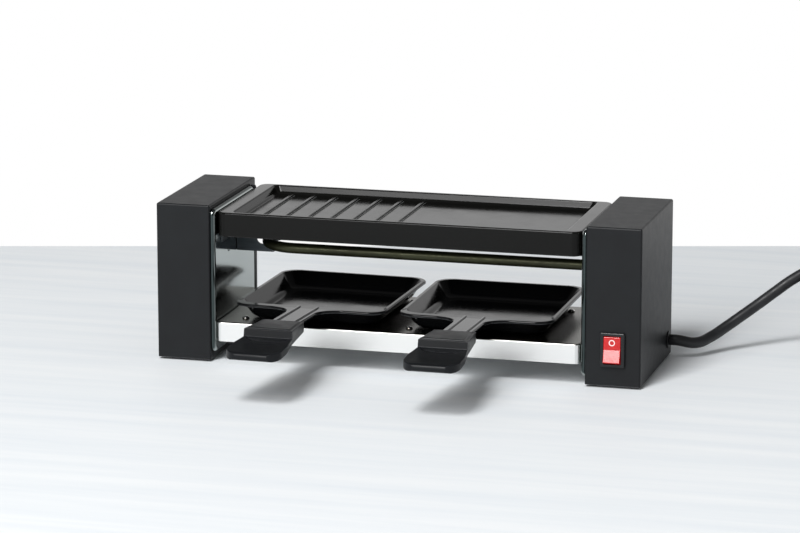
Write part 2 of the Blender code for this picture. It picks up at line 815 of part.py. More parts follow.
def make_grill_plate():
    """The cast plate on top: a shallow well with ribs on its left half, and a skirt round it."""
    half = BAY_HALF - PLATE_SIDE_GAP
    middle_y = y_at(PLATE_FRONT_INSET + PLATE_DEPTH / 2)
    outline = rounded_rectangle(2 * half, PLATE_DEPTH, PLATE_CORNER_RADIUS)
    body = plate("grill_plate", [outline], PLATE_HEIGHT)
    body.location = (0, middle_y, PLATE_TOP - PLATE_HEIGHT / 2)
    bevel(body, PLATE_EDGE_ROUND)
    well_width = 2 * (half - PLATE_END_RIM)
    well_depth = PLATE_DEPTH - 2 * PLATE_SIDE_RIM
    well_outline = rounded_rectangle(well_width, well_depth, PLATE_WELL_CORNER)
    slope = PLATE_WELL_DRAFT / PLATE_WELL_DEPTH
    spread = CUT_OVERRUN * slope
    rise = ((well_width + 2 * spread) / well_width, (well_depth + 2 * spread) / well_depth)
    low_scale = (
        (well_width - 2 * PLATE_WELL_DRAFT) / (well_width + 2 * spread),
        (well_depth - 2 * PLATE_WELL_DRAFT) / (well_depth + 2 * spread),
    )
    well = tapered(
        "grill_plate_well",
        [(x * rise[0], y * rise[1]) for x, y in well_outline],
        PLATE_WELL_DEPTH + CUT_OVERRUN,
        low_scale,
        CUT_OVERRUN,
        helper=True,
    )
    well.location = (0, middle_y, PLATE_TOP)
    cut(body, well)
    under_width = 2 * (half - PLATE_WALL)
    under_depth = PLATE_DEPTH - 2 * PLATE_WALL
    under_height = PLATE_HEIGHT - PLATE_WELL_DEPTH - PLATE_FLOOR
    under = plate(
        "grill_plate_under",
        [rounded_rectangle(under_width, under_depth, PLATE_CORNER_RADIUS - PLATE_WALL)],
        2 * under_height,
        helper=True,
    )
    under.location = (0, middle_y, PLATE_BOTTOM)
    cut(body, under)
    floor_top = PLATE_TOP - PLATE_WELL_DEPTH
    rib_half = well_depth / 2 - PLATE_WELL_DRAFT - RIB_END_GAP
    rib_room = well_width / 2 - PLATE_WELL_DRAFT - RIB_SIDE_GAP - RIB_FIRST
    for i in range(1 + math.floor(rib_room / RIB_PITCH)):
        x = -RIB_FIRST - RIB_PITCH * i
        rib = box(
            f"grill_plate_rib_{i}",
            (x - RIB_WIDTH / 2, middle_y - rib_half, floor_top - PLATE_FLOOR / 2),
            (x + RIB_WIDTH / 2, middle_y + rib_half, floor_top + RIB_HEIGHT),
            helper=True,
        )
        bevel(rib, RIB_HEIGHT / 3, segments=1)
        join(body, rib)
    as_part(body, (0.012, 0.012, 0.013), 0.25)


def bracket_y():
    """The middle of the heater between its legs."""
    return y_at(HOUSING_DEPTH / 2 - HEATER_FORWARD)


def bracket_top():
    return HEATER_AXIS - BRACKET_BELOW_AXIS + BRACKET_HEIGHT


def make_ledge(side):
    """The bent strip on a cover that an end of the grill plate rests on."""
    wall = side * (BAY_HALF - GAP)
    shelf_top = PLATE_BOTTOM - GAP
    front, back = y_at(LEDGE_END_INSET), y_at(HOUSING_DEPTH - PANEL_BACK_INSET - LEDGE_END_INSET)
    edge_x = side * (BAY_HALF - LEDGE_REACH)
    low_x, high_x = sorted((edge_x, wall))
    ledge = box(
        side_name(side) + "_plate_ledge",
        (low_x, front, shelf_top - LEDGE_SHEET),
        (high_x, back, shelf_top),
    )
    low_x, high_x = sorted((wall - side * LEDGE_SHEET, wall))
    upright = box(
        side_name(side) + "_ledge_upright",
        (low_x, front, shelf_top - LEDGE_DROP),
        (high_x, back, shelf_top - LEDGE_SHEET / 2),
        helper=True,
    )
    join(ledge, upright)
    if side == RIGHT:
        for end in (FRONT, BACK):
            clearance = cylinder(
                f"ledge_clearance_{end}",
                BUSHING_FLANGE_RADIUS + GAP,
                4 * LEDGE_REACH,
                (wall, heater_y(end), HEATER_AXIS),
                "X",
                helper=True,
            )
            cut(ledge, clearance)
    else:
        notch = box(
            "ledge_notch",
            (wall - CUT_OVERRUN, bracket_y() - BRACKET_SHEET, shelf_top - 2 * LEDGE_DROP),
            (wall + LEDGE_REACH + CUT_OVERRUN, bracket_y() + BRACKET_FOOT + BRACKET_SHEET, bracket_top() + GAP),
            helper=True,
        )
        cut(ledge, notch)
    as_part(ledge, (0.6, 0.6, 0.6), 0.3, 1.0)


def make_heater():
    """The tubular element: two legs through the right cover, joined by a bend on the left."""
    radius = HEATER_SPREAD / 2
    bend_x = -BAY_HALF + HEATER_LEFT_REACH + radius
    middle_y = bracket_y()
    end_x = BAY_HALF + HEATER_TAIL
    points = [(end_x, heater_y(BACK), HEATER_AXIS)]
    for x, y in arc((bend_x, middle_y), radius, 90, 270, HEATER_BEND_STEPS):
        points.append((x, y, HEATER_AXIS))
    points.append((end_x, heater_y(FRONT), HEATER_AXIS))
    element = tube("heating_element", points, HEATER_RADIUS, resolution=4)
    shade_round(element)
    as_part(element, (0.03, 0.032, 0.02), 0.4, 0.6)
    for end, end_name in ((FRONT, "front"), (BACK, "back")):
        bore = HEATER_RADIUS + GAP
        bushing = turned(
            f"heater_bushing_{end_name}",
            [
                (bore, BUSHING_NECK_LENGTH),
                (BUSHING_NECK_RADIUS, BUSHING_NECK_LENGTH),
                (BUSHING_NECK_RADIUS, 0),
                (BUSHING_FLANGE_RADIUS, 0),
                (BUSHING_FLANGE_RADIUS, -BUSHING_FLANGE),
                (bore, -BUSHING_FLANGE),
                (bore, BUSHING_NECK_LENGTH),
            ],
            axis="X",
        )
        bushing.location = (BAY_HALF - GAP, heater_y(end), HEATER_AXIS)
        as_part(bushing, (0.55, 0.55, 0.53), 0.35, 1.0)
        tip = TERMINAL_COLLAR_LENGTH + TERMINAL_PIN_LENGTH
        terminal = turned(
            f"heater_terminal_{end_name}",
            [
                (0, tip),
                (TERMINAL_PIN_RADIUS, tip),
                (TERMINAL_PIN_RADIUS, TERMINAL_COLLAR_LENGTH),
                (TERMINAL_COLLAR_RADIUS, TERMINAL_COLLAR_LENGTH),
                (TERMINAL_COLLAR_RADIUS, 0),
                (0, 0),
            ],
            axis="X",
            steps=16,
        )
        terminal.location = (end_x + GAP, heater_y(end), HEATER_AXIS)
        as_part(terminal, (0.8, 0.78, 0.72), 0.6)
    make_bracket(bend_x - radius)


def make_bracket(tube_x):
    """The strip from the left cover that carries the heater's bend, with a slot round the tube."""
    middle_y = bracket_y()
    wall_x = -BAY_HALF + GAP
    tip_x = tube_x + HEATER_RADIUS + GAP + BRACKET_BEYOND_TUBE
    low, high = bracket_top() - BRACKET_HEIGHT, bracket_top()
    strip = box(
        "heater_bracket",
        (wall_x, middle_y - BRACKET_SHEET / 2, low),
        (tip_x, middle_y + BRACKET_SHEET / 2, high),
    )
    foot = box(
        "heater_bracket_foot",
        (wall_x, middle_y, low),
        (wall_x + BRACKET_SHEET, middle_y + BRACKET_FOOT, high),
        helper=True,
    )
    join(strip, foot)
    slot_radius = HEATER_RADIUS + GAP
    right_x = tube_x
    left_x = tube_x + 2 * slot_radius - BRACKET_SLOT_LENGTH
    outline = arc((right_x, 0), slot_radius, -90, 90, 8) + arc((left_x, 0), slot_radius, 90, 270, 8)
    slot = plate("heater_bracket_slot", [outline], 6 * BRACKET_SHEET, STAND_IN_XZ, helper=True)
    slot.location = (0, middle_y, HEATER_AXIS)
    cut(strip, slot)
    as_part(strip, (0.12, 0.125, 0.13), 0.45, 0.8)


def tray_screw_y(end):
    inset = TRAY_SCREW_INSET if end == FRONT else HOUSING_DEPTH - PANEL_BACK_INSET - TRAY_SCREW_INSET
    return y_at(inset)


def pan_turn(side):
    """The slight turn a pan stands at."""
    return LEFT_PAN_TURN if side == LEFT else RIGHT_PAN_TURN


def pan_middle(side):
    """The place of a pan's middle in X and Y."""
    if side == LEFT:
        x, overhang = -BAY_HALF + PAN_LEFT_GAP + PAN_WIDTH / 2, LEFT_PAN_OVERHANG
    else:
        x, overhang = BAY_HALF - PAN_RIGHT_GAP - PAN_WIDTH / 2, RIGHT_PAN_OVERHANG
    return x, y_at(HOUSING_DEPTH + overhang - PAN_DEPTH / 2)


def make_tray():
    """The folded steel tray between the covers, with two raised marks for each pan."""
    half = BAY_HALF - TRAY_SIDE_GAP
    front, back = y_at(TRAY_FRONT_INSET), y_at(TRAY_FRONT_INSET + TRAY_DEPTH)
    tray = box("bottom_tray", (-half, front, TRAY_TOP - TRAY_APRON), (half, back, TRAY_TOP))
    bevel(tray, TRAY_EDGE_ROUND, segments=3)
    hollow = box(
        "bottom_tray_hollow",
        (-half + TRAY_SHEET, front + TRAY_SHEET, TRAY_TOP - TRAY_APRON - CUT_OVERRUN),
        (half - TRAY_SHEET, back - TRAY_SHEET, TRAY_TOP - TRAY_SHEET),
        helper=True,
    )
    bevel(hollow, TRAY_EDGE_ROUND - TRAY_SHEET)
    cut(tray, hollow)
    floor_half = PAN_WIDTH / 2 - PAN_DRAFT
    for side in (LEFT, RIGHT):
        pan_x, _ = pan_middle(side)
        reach = floor_half + PAN_DEPTH / 2 * abs(math.sin(pan_turn(side))) + DIMPLE_RADIUS + DIMPLE_PAN_GAP
        for way, y in ((-1, y_at(DIMPLE_FRONT_INSET)), (1, y_at(HOUSING_DEPTH - DIMPLE_BACK_INSET))):
            dimple = ellipsoid(
                f"dimple_{side}_{way}",
                (DIMPLE_RADIUS, DIMPLE_RADIUS, DIMPLE_HEIGHT),
                (pan_x + way * reach, y, TRAY_TOP),
                segments=16,
                rings=8,
            )
            join(tray, dimple)
        for end, end_name in ((FRONT, "front"), (BACK, "back")):
            hole = cylinder(
                f"tray_hole_{side}_{end}",
                SCREW_RADIUS + GAP,
                6 * TRAY_SHEET,
                (side * (half - TRAY_SHEET / 2), tray_screw_y(end), TRAY_SCREW_HEIGHT),
                "X",
                sides=12,
                helper=True,
            )
            cut(tray, hole)
            screw = turned(
                f"{side_name(side)}_tray_screw_{end_name}",
                [
                    (0, TRAY_SCREW_LENGTH),
                    (SCREW_RADIUS, TRAY_SCREW_LENGTH),
                    (SCREW_RADIUS, 0),
                    (SCREW_HEAD_RADIUS, 0),
                    (SCREW_HEAD_RADIUS, -SCREW_HEAD_HEIGHT),
                    (0, -SCREW_HEAD_HEIGHT),
                ],
                axis="X",
                steps=12,
            )
            if side == LEFT:
                screw.rotation_euler = (0, math.radians(-90), 0)
            head_face = side * (half - TRAY_SHEET - GAP)
            screw.location = (head_face, tray_screw_y(end), TRAY_SCREW_HEIGHT)
            as_part(screw, (0.6, 0.6, 0.6), 0.35, 1.0)
    as_part(tray, (0.7, 0.7, 0.69), 0.12, 1.0)


def neck_outline(inset, back, front):
    """The outline of a neck with the flare at its root, drawn in by inset, between two places along it."""
    middle = NECK_HALF_WIDTH + NECK_FILLET
    right = [(NECK_HALF_WIDTH - inset, -front)]
    right += arc((middle, -NECK_SETBACK - NECK_FILLET), NECK_FILLET + inset, 180, 90, 6)
    right += [(middle + inset, inset - NECK_SETBACK), (middle + inset, back)]
    left = [(-x, y) for x, y in reversed(right)]
    return right + left


def neck_part(name, low, high, helper=True):
    """A box in the frame of a pan's neck: it starts at the neck's root and slopes up towards the user."""
    made = box(name, low, high, helper)
    made.data.transform(NECK_FRAME @ Matrix.Translation(made.location))
    made.location = (0, 0, 0)
    return made


def settle(obj):
    """Turn an object's modifiers into its mesh, so that it can be turned in place."""
    bpy.context.view_layer.update()
    graph = bpy.context.evaluated_depsgraph_get()
    mesh = bpy.data.meshes.new_from_object(obj.evaluated_get(graph))
    obj.modifiers.clear()
    obj.data = mesh


def make_rim(name):
    """The flat rim with its wide front lip and the neck, both with edges turned down."""
    depth = PAN_DEPTH / 2 - PAN_FRONT_EDGE
    centre = (0, PAN_DEPTH / 2 - depth / 2)
    outline = rounded_rectangle(PAN_WIDTH, depth, PAN_CORNER_RADIUS, 6, centre)
    rim = plate(name + "_rim", [outline], PAN_LIP_DROP, helper=True)
    rim.data.transform(Matrix.Translation((0, 0, PAN_HEIGHT - PAN_LIP_DROP / 2)))
    under = plate(name + "_rim_under", [inset_outline(outline, PAN_SHEET)], 2 * PAN_LIP_DROP, helper=True)
    under.data.transform(Matrix.Translation((0, 0, PAN_HEIGHT - PAN_SHEET - PAN_LIP_DROP)))
    cut(rim, under)
    neck = plate(
        name + "_neck",
        [neck_outline(0, NECK_SETBACK, NECK_VISIBLE - GAP)],
        PAN_LIP_DROP,
        NECK_FRAME @ Matrix.Translation((0, 0, -PAN_LIP_DROP / 2)),
        helper=True,
    )
    neck_under = plate(
        name + "_neck_under",
        [neck_outline(PAN_SHEET, PAN_FRONT_LIP, NECK_VISIBLE + CUT_OVERRUN)],
        2 * PAN_LIP_DROP,
        NECK_FRAME @ Matrix.Translation((0, 0, -PAN_SHEET - PAN_LIP_DROP)),
        helper=True,
    )
    cut(neck, neck_under)
    return rim, neck


def make_pan(side):
    """A pressed pan with a turned rim, its neck and its handle. Its origin is the middle of its floor."""
    name = side_name(side) + "_pan"
    x, y = pan_middle(side)
    width, depth = PAN_WIDTH - 2 * PAN_RIM, PAN_DEPTH - 2 * PAN_RIM
    opening = rounded_rectangle(width, depth, PAN_CORNER_RADIUS - PAN_RIM, 6)
    outer_width, outer_depth = width + 2 * PAN_SHEET, depth + 2 * PAN_SHEET
    outer = [(px * outer_width / width, py * outer_depth / depth) for px, py in opening]
    floor_width, floor_depth = PAN_WIDTH - 2 * PAN_DRAFT, PAN_DEPTH - 2 * PAN_DRAFT
    bowl_top = PAN_HEIGHT - PAN_SHEET / 2
    pan = tapered(name, outer, bowl_top, (floor_width / outer_width, floor_depth / outer_depth), bowl_top)
    pieces = [*make_rim(name)]
    tongue_half = NECK_HALF_WIDTH - PAN_SHEET
    pieces.append(
        neck_part(
            name + "_tongue",
            (-tongue_half, -(NECK_VISIBLE + NECK_IN_HANDLE), TONGUE_SHEET - PAN_SHEET),
            (tongue_half, -NECK_VISIBLE + CUT_OVERRUN, -TONGUE_SHEET / 4),
        )
    )
    for edge in (LEFT, RIGHT):
        rib_x = edge * NECK_RIB_OFFSET
        pieces.append(
            neck_part(
                f"{name}_neck_rib_{edge}",
                (rib_x - NECK_RIB_WIDTH / 2, -(NECK_VISIBLE - CUT_OVERRUN), -PAN_SHEET / 2),
                (rib_x + NECK_RIB_WIDTH / 2, PAN_FRONT_LIP - CUT_OVERRUN, NECK_RIB_HEIGHT),
            )
        )
    for piece in pieces:
        join(pan, piece)
    spread = CUT_OVERRUN * (PAN_DRAFT - PAN_RIM) / PAN_HEIGHT
    mouth_width, mouth_depth = width + 2 * spread, depth + 2 * spread
    mouth = [(px * mouth_width / width, py * mouth_depth / depth) for px, py in opening]
    low_scale = (
        (floor_width - 2 * PAN_SHEET) / mouth_width,
        (floor_depth - 2 * PAN_SHEET) / mouth_depth,
    )
    top = PAN_HEIGHT + CUT_OVERRUN
    inside = tapered(name + "_inside", mouth, top - PAN_SHEET, low_scale, top, helper=True)
    cut(pan, inside)
    rivet_y = -(NECK_VISIBLE + NECK_IN_HANDLE / 2)
    hole = cylinder(name + "_rivet_hole", RIVET_RADIUS + GAP, 8 * PAN_SHEET, (0, 0, 0), "Z", 16, True)
    to_neck(hole, rivet_y, 0)
    cut(pan, hole)
    settle(pan)
    pan.location = (x, y, TRAY_TOP + GAP)
    pan.rotation_euler = (0, 0, pan_turn(side))
    as_part(pan, (0.012, 0.012, 0.013), 0.3)
    for piece in make_handle(side, rivet_y):
        piece.parent = pan


def to_neck(obj, along, height):
    """Move an object's mesh from the origin to a place on the neck, with the neck's slope."""
    obj.data.transform(NECK_FRAME @ Matrix.Translation((0, along, height)))


def handle_side_outline():
    """A handle seen from its side, as (distance from the neck's root, height over the neck)."""
    back = NECK_VISIBLE
    step = back + HANDLE_SLEEVE_LENGTH
    tip = step + HANDLE_PADDLE_LENGTH
    paddle_top = HANDLE_TOP - HANDLE_STEP
    paddle_end = paddle_top - HANDLE_PADDLE_FALL
    nose = HANDLE_PADDLE_THICKNESS / 2
    outline = [
        (back, HANDLE_TOP),
        (back, HANDLE_TOP - HANDLE_SLEEVE_DEPTH),
        (step, paddle_top - HANDLE_PADDLE_THICKNESS / 2),
    ]
    outline += arc((tip - nose, paddle_end - nose), nose, -90, 90, 6)
    outline += [(step, paddle_top), (step, HANDLE_TOP)]
    return outline


def handle_plan_outline():
    """A handle seen from above, as (sideways, distance from the neck's root)."""
    back = NECK_VISIBLE
    step = back + HANDLE_SLEEVE_LENGTH
    tip = step + HANDLE_PADDLE_LENGTH
    r = HANDLE_CORNER_RADIUS
    right = [(HANDLE_BACK_HALF_WIDTH, back), (HANDLE_STEP_HALF_WIDTH, step)]
    right += [(HANDLE_PADDLE_HALF_WIDTH, tip - 2 * r)]
    right += arc((HANDLE_PADDLE_HALF_WIDTH - r, tip - r), r, 0, 80, 6)
    left = [(-x, y) for x, y in reversed(right)]
    return right + left


def make_handle(side, rivet_y):
    """The moulded handle: a sleeve round the neck, a step and a lower paddle for the thumb."""
    name = side_name(side) + "_pan_handle"
    width = 4 * HANDLE_PADDLE_HALF_WIDTH
    handle = plate(name, [handle_side_outline()], width, ALONG_NECK)
    plan = plate(name + "_plan", [handle_plan_outline()], width, FROM_ABOVE, helper=True)
    keep_common(handle, plan)
    bevel(handle, HANDLE_EDGE_ROUND, segments=2, angle=math.radians(50))
    step = NECK_VISIBLE + HANDLE_SLEEVE_LENGTH
    pad_from, pad_to = NECK_VISIBLE + HANDLE_EDGE_ROUND, step - HANDLE_EDGE_ROUND
    pad_outline = [
        (HANDLE_PAD_BACK_HALF_WIDTH, -pad_from),
        (-HANDLE_PAD_BACK_HALF_WIDTH, -pad_from),
        (-HANDLE_PAD_FRONT_HALF_WIDTH, -pad_to),
        (HANDLE_PAD_FRONT_HALF_WIDTH, -pad_to),
    ]
    pad = plate(name + "_pad", [pad_outline], 2 * HANDLE_PAD_HEIGHT, helper=True)
    pad.location = (0, 0, HANDLE_TOP)
    join(handle, pad)
    scoop_radii = (HANDLE_SCOOP_HALF_WIDTH, HANDLE_SCOOP_LENGTH / 2, HANDLE_SCOOP_DEPTH / 2)
    scoop_height = HANDLE_TOP - HANDLE_STEP + HANDLE_SCOOP_DEPTH / 5
    scoop = ellipsoid(name + "_scoop", scoop_radii, (0, -step - HANDLE_SCOOP_LENGTH / 3, scoop_height))
    cut(handle, scoop)
    tongue_half = NECK_HALF_WIDTH - PAN_SHEET + GAP
    slot = box(
        name + "_slot",
        (-tongue_half, -(NECK_VISIBLE + NECK_IN_HANDLE + GAP), -PAN_SHEET),
        (tongue_half, -NECK_VISIBLE + CUT_OVERRUN, GAP),
        helper=True,
    )
    cut(handle, slot)
    rivet_top = -PAN_SHEET / 2
    rivet_bottom = HANDLE_TOP - HANDLE_SLEEVE_DEPTH - HANDLE_PAD_HEIGHT
    length = rivet_top - rivet_bottom
    hole = cylinder(
        name + "_hole", RIVET_RADIUS + GAP, 2 * length, (0, rivet_y, rivet_bottom), "Z", 16, helper=True
    )
    cut(handle, hole)
    settle(handle)
    handle.data.transform(NECK_FRAME)
    as_part(handle, (0.03, 0.034, 0.04), 0.5)
    rivet = turned(
        side_name(side) + "_pan_rivet",
        [
            (0, length),
            (RIVET_RADIUS, length),
            (RIVET_RADIUS, -GAP),
            (RIVET_HEAD_RADIUS, -GAP),
            (RIVET_HEAD_RADIUS, -GAP - RIVET_HEAD_HEIGHT),
            (0, -GAP - RIVET_HEAD_HEIGHT),
        ],
        steps=16,
    )
    rivet.location = NECK_FRAME @ Vector((0, rivet_y, rivet_bottom))
    rivet.rotation_euler = (-NECK_SLOPE, 0, 0)
    as_part(rivet, (0.6, 0.6, 0.6), 0.35, 1.0)
    return handle, rivet


def make_switch():
    """The rocker switch in the front of the right housing, with its two terminals."""
    x, front = housing_middle(RIGHT), y_at(0)
    low = SWITCH_HEIGHT - SWITCH_BODY_HEIGHT / 2
    high = SWITCH_HEIGHT + SWITCH_BODY_HEIGHT / 2
    hole = box(
        "switch_hole",
        (x - SWITCH_BODY_WIDTH / 2 - GAP, front - CUT_OVERRUN, low - GAP),
        (x + SWITCH_BODY_WIDTH / 2 + GAP, front + HOUSING_WALL + CUT_OVERRUN, high + GAP),
        helper=True,
    )
    cut(bpy.data.objects["right_housing_shell"], hole)
    bezel_front = front - GAP - BEZEL_PROUD
    body = box(
        "switch_body",
        (x - BEZEL_WIDTH / 2, bezel_front, SWITCH_HEIGHT - BEZEL_HEIGHT / 2),
        (x + BEZEL_WIDTH / 2, front - GAP, SWITCH_HEIGHT + BEZEL_HEIGHT / 2),
    )
    bevel(body, BEZEL_ROUND)
    block = box(
        "switch_block",
        (x - SWITCH_BODY_WIDTH / 2, bezel_front + BEZEL_PROUD / 2, low),
        (x + SWITCH_BODY_WIDTH / 2, front + SWITCH_BODY_DEPTH, high),
        helper=True,
    )
    join(body, block)
    axle_y = bezel_front + ROCKER_AXLE_DEPTH
    pocket = box(
        "switch_pocket",
        (x - ROCKER_WIDTH / 2 - GAP, bezel_front - CUT_OVERRUN, SWITCH_HEIGHT - ROCKER_RADIUS - GAP),
        (x + ROCKER_WIDTH / 2 + GAP, axle_y + ROCKER_BACK_ROOM, SWITCH_HEIGHT + ROCKER_RADIUS + GAP),
        helper=True,
    )
    cut(body, pocket)
    axle_reach = ROCKER_WIDTH / 2 + ROCKER_AXLE_LENGTH
    centre = (x, axle_y, SWITCH_HEIGHT)
    socket = cylinder(
        "switch_socket", ROCKER_AXLE_RADIUS + GAP, 2 * (axle_reach + GAP), centre, "X", 16, helper=True
    )
    cut(body, socket)
    as_part(body, (0.02, 0.02, 0.022), 0.4)
    degrees = [math.degrees(angle) for angle in (ROCKER_FACE_ANGLE, ROCKER_BACK_ANGLE)]
    upper = arc((0, 0), ROCKER_RADIUS, 90 + degrees[1], 90 + degrees[0], 5)
    middle = (-(ROCKER_RADIUS * math.sin(ROCKER_FACE_ANGLE) - ROCKER_DISH), 0)
    lower = [(y, -z) for y, z in reversed(upper)]
    rocker = plate("switch_rocker", [[*upper, middle, *lower]], ROCKER_WIDTH, STAND_IN_YZ)
    axle = cylinder("rocker_axle", ROCKER_AXLE_RADIUS, 2 * axle_reach, (0, 0, 0), "X", 16, helper=True)
    join(rocker, axle)
    settle(rocker)
    rocker.location = centre
    rocker.rotation_euler = (-ROCKER_TILT, 0, 0)
    as_part(rocker, (0.5, 0.01, 0.01), 0.15)
    for way, name in ((-1, "lower"), (1, "upper")):
        height = SWITCH_HEIGHT + way * SWITCH_TAB_SPREAD / 2
        tab = box(
            "switch_terminal_" + name,
            (x - SWITCH_TAB_WIDTH / 2, front + SWITCH_BODY_DEPTH + GAP, height - SWITCH_TAB_SHEET / 2),
            (x + SWITCH_TAB_WIDTH / 2, switch_tab_end(), height + SWITCH_TAB_SHEET / 2),
        )
        as_part(tab, (0.7, 0.68, 0.6), 0.3, 1.0)


def switch_tab_end():
    return y_at(SWITCH_BODY_DEPTH + GAP + SWITCH_TAB_LENGTH)


def limiter_tab(way):
    """The place of the tip of one of the limiter's two tabs."""
    x = BAY_HALF + PANEL_SHEET + GAP + LIMITER_HEIGHT + LIMITER_TAB_LENGTH
    return Vector((x, bracket_y(), HEATER_AXIS - LIMITER_BELOW_HEATER + way * LIMITER_TAB_OFFSET))


def make_limiter():
    """The disc on the right cover that cuts the current when the cover gets too hot."""
    x = BAY_HALF + PANEL_SHEET + GAP
    centre = (x + LIMITER_HEIGHT / 2, bracket_y(), HEATER_AXIS - LIMITER_BELOW_HEATER)
    limiter = cylinder("thermal_limiter", LIMITER_RADIUS, LIMITER_HEIGHT, centre, "X")
    for way in (-1, 1):
        tip = limiter_tab(way)
        tab = box(
            f"limiter_tab_{way}",
            (centre[0], tip.y - LIMITER_TAB_WIDTH / 2, tip.z - LIMITER_TAB_SHEET / 2),
            (tip.x, tip.y + LIMITER_TAB_WIDTH / 2, tip.z + LIMITER_TAB_SHEET / 2),
            helper=True,
        )
        join(limiter, tab)
    as_part(limiter, (0.5, 0.45, 0.35), 0.5)
    stud = turned(
        "earth_stud",
        [
            (0, STUD_DISC + STUD_LENGTH),
            (STUD_RADIUS, STUD_DISC + STUD_LENGTH),
            (STUD_RADIUS, STUD_DISC),
            (STUD_DISC_RADIUS, STUD_DISC),
            (STUD_DISC_RADIUS, 0),
            (0, 0),
        ],
        axis="X",
        steps=16,
    )
    stud.location = (x, y_at(HOUSING_DEPTH - STUD_BACK_INSET), STUD_HEIGHT)
    as_part(stud, (0.75, 0.6, 0.3), 0.3, 1.0)


def cord_exit():
    """The middle of the cord's hole on the outside of the right housing."""
    return Vector((OVERALL_WIDTH / 2, y_at(HOUSING_DEPTH - CORD_EXIT_BACK_INSET), CORD_EXIT_HEIGHT))


def make_cord_entry():
    """The grommet, the cord's end inside the housing and the clamp that holds it."""
    middle = cord_exit()
    bore = CORD_RADIUS + GAP
    hole = cylinder(
        "cord_hole", GROMMET_NECK_RADIUS + GAP, 4 * HOUSING_WALL, middle, "X", helper=True
    )
    cut(bpy.data.objects["right_housing_shell"], hole)
    outside = GAP + GROMMET_FLANGE
    inside = HOUSING_WALL + GAP + GROMMET_FLANGE
    grommet = turned(
        "cord_grommet",
        [
            (bore, outside),
            (GROMMET_FLANGE_RADIUS, outside),
            (GROMMET_FLANGE_RADIUS, GAP),
            (GROMMET_NECK_RADIUS, GAP),
            (GROMMET_NECK_RADIUS, -HOUSING_WALL - GAP),
            (GROMMET_FLANGE_RADIUS, -HOUSING_WALL - GAP),
            (GROMMET_FLANGE_RADIUS, -inside),
            (bore, -inside),
            (bore, outside),
        ],
        axis="X",
    )
    grommet.location = middle
    as_part(grommet, (0.015, 0.015, 0.015), 0.7)
    inner_end = middle.x - CORD_INSIDE_LENGTH
    length = middle.x + outside - inner_end
    stub = cylinder("cord_inner", CORD_RADIUS, length, (inner_end + length / 2, middle.y, middle.z), "X", 16)
    as_part(stub, (0.02, 0.02, 0.02), 0.6)
    clamp_from = inner_end + CLAMP_INSET
    clamp = box(
        "cord_clamp",
        (clamp_from, middle.y - CLAMP_DEPTH / 2, BASE_TOP + GAP),
        (clamp_from + CLAMP_WIDTH, middle.y + CLAMP_DEPTH / 2, BASE_TOP + GAP + CLAMP_HEIGHT),
    )
    clamp_bore = cylinder(
        "cord_clamp_bore", CORD_RADIUS + GAP, 4 * CLAMP_WIDTH, middle, "X", helper=True
    )
    cut(clamp, clamp_bore)
    as_part(clamp, (0.6, 0.6, 0.58), 0.5)


def core_start(angle):
    """Where one of the cord's three cores leaves its inner end. The angle is in degrees."""
    turn = math.radians(angle)
    middle = cord_exit() - Vector((CORD_INSIDE_LENGTH + GAP, 0, 0))
    return middle + CORE_OFFSET * Vector((0, math.cos(turn), math.sin(turn)))


def make_wire(name, start, start_way, route, end, end_way, colour):
    """A wire that starts and ends straight. The ways point from its ends along it."""
    leaving, arriving = route
    places = [start + Vector(step) for step in leaving] + [end + Vector(step) for step in arriving]
    near_start = start + WIRE_LEAD * Vector(start_way)
    near_end = end + WIRE_LEAD * Vector(end_way)
    points = [start, *smooth_route([near_start, *places, near_end], WIRE_POINT_STEP), end]
    wire = tube(name, points, WIRE_RADIUS, resolution=1)
    shade_round(wire, math.radians(75))
    as_part(wire, colour, 0.5)


def make_wires():
    right, left, back = (1, 0, 0), (-1, 0, 0), (0, 1, 0)
    tab_x, tab_y = housing_middle(RIGHT), switch_tab_end() + GAP
    tip_x = BAY_HALF + HEATER_TAIL + GAP + HEATER_TERMINAL_LENGTH + GAP
    beside = Vector((GAP, 0, 0))
    stud_x = BAY_HALF + PANEL_SHEET + GAP + STUD_DISC + STUD_LENGTH + GAP
    brown, blue, green, white = (0.12, 0.05, 0.02), (0.02, 0.08, 0.4), (0.25, 0.45, 0.05), (0.7, 0.7, 0.68)
    switch_ends = [Vector((tab_x, tab_y, SWITCH_HEIGHT + way * SWITCH_TAB_SPREAD / 2)) for way in (-1, 1)]
    make_wire("wire_live", core_start(180), left, LIVE_ROUTE, switch_ends[0], back, brown)
    neutral_end = Vector((tip_x, heater_y(BACK), HEATER_AXIS))
    make_wire("wire_neutral", core_start(60), left, NEUTRAL_ROUTE, neutral_end, right, blue)
    earth_end = Vector((stud_x, y_at(HOUSING_DEPTH - STUD_BACK_INSET), STUD_HEIGHT))
    make_wire("wire_earth", core_start(300), left, EARTH_ROUTE, earth_end, right, green)
    make_wire("wire_switched", switch_ends[1], back, SWITCHED_ROUTE, limiter_tab(-1) + beside, right, brown)
    limited_end = Vector((tip_x, heater_y(FRONT), HEATER_AXIS))
    make_wire("wire_limited", limiter_tab(1) + beside, right, LIMITED_ROUTE, limited_end, right, white)


def spiral_point(angle, centre):
    """A point of the coil, so far round from its start: in along the lower layer, out along the upper one."""
    middle = TURN * COIL_TURNS / 2
    inner = COIL_MEAN_RADIUS - COIL_PITCH * COIL_TURNS / 4
    ease = TURN * COIL_TURNING_SHARE
    off = math.hypot(angle - middle, ease) - ease
    radius = inner + COIL_PITCH * off / TURN
    climb = min(max((angle - middle) / (TURN / 2) + 0.5, 0), 1)
    height = COIL_HEIGHT + COIL_PITCH * (3 * climb**2 - 2 * climb**3)
    turn = COIL_START_ANGLE + angle
    return Vector((centre.x + radius * math.cos(turn), centre.y + radius * math.sin(turn), height))


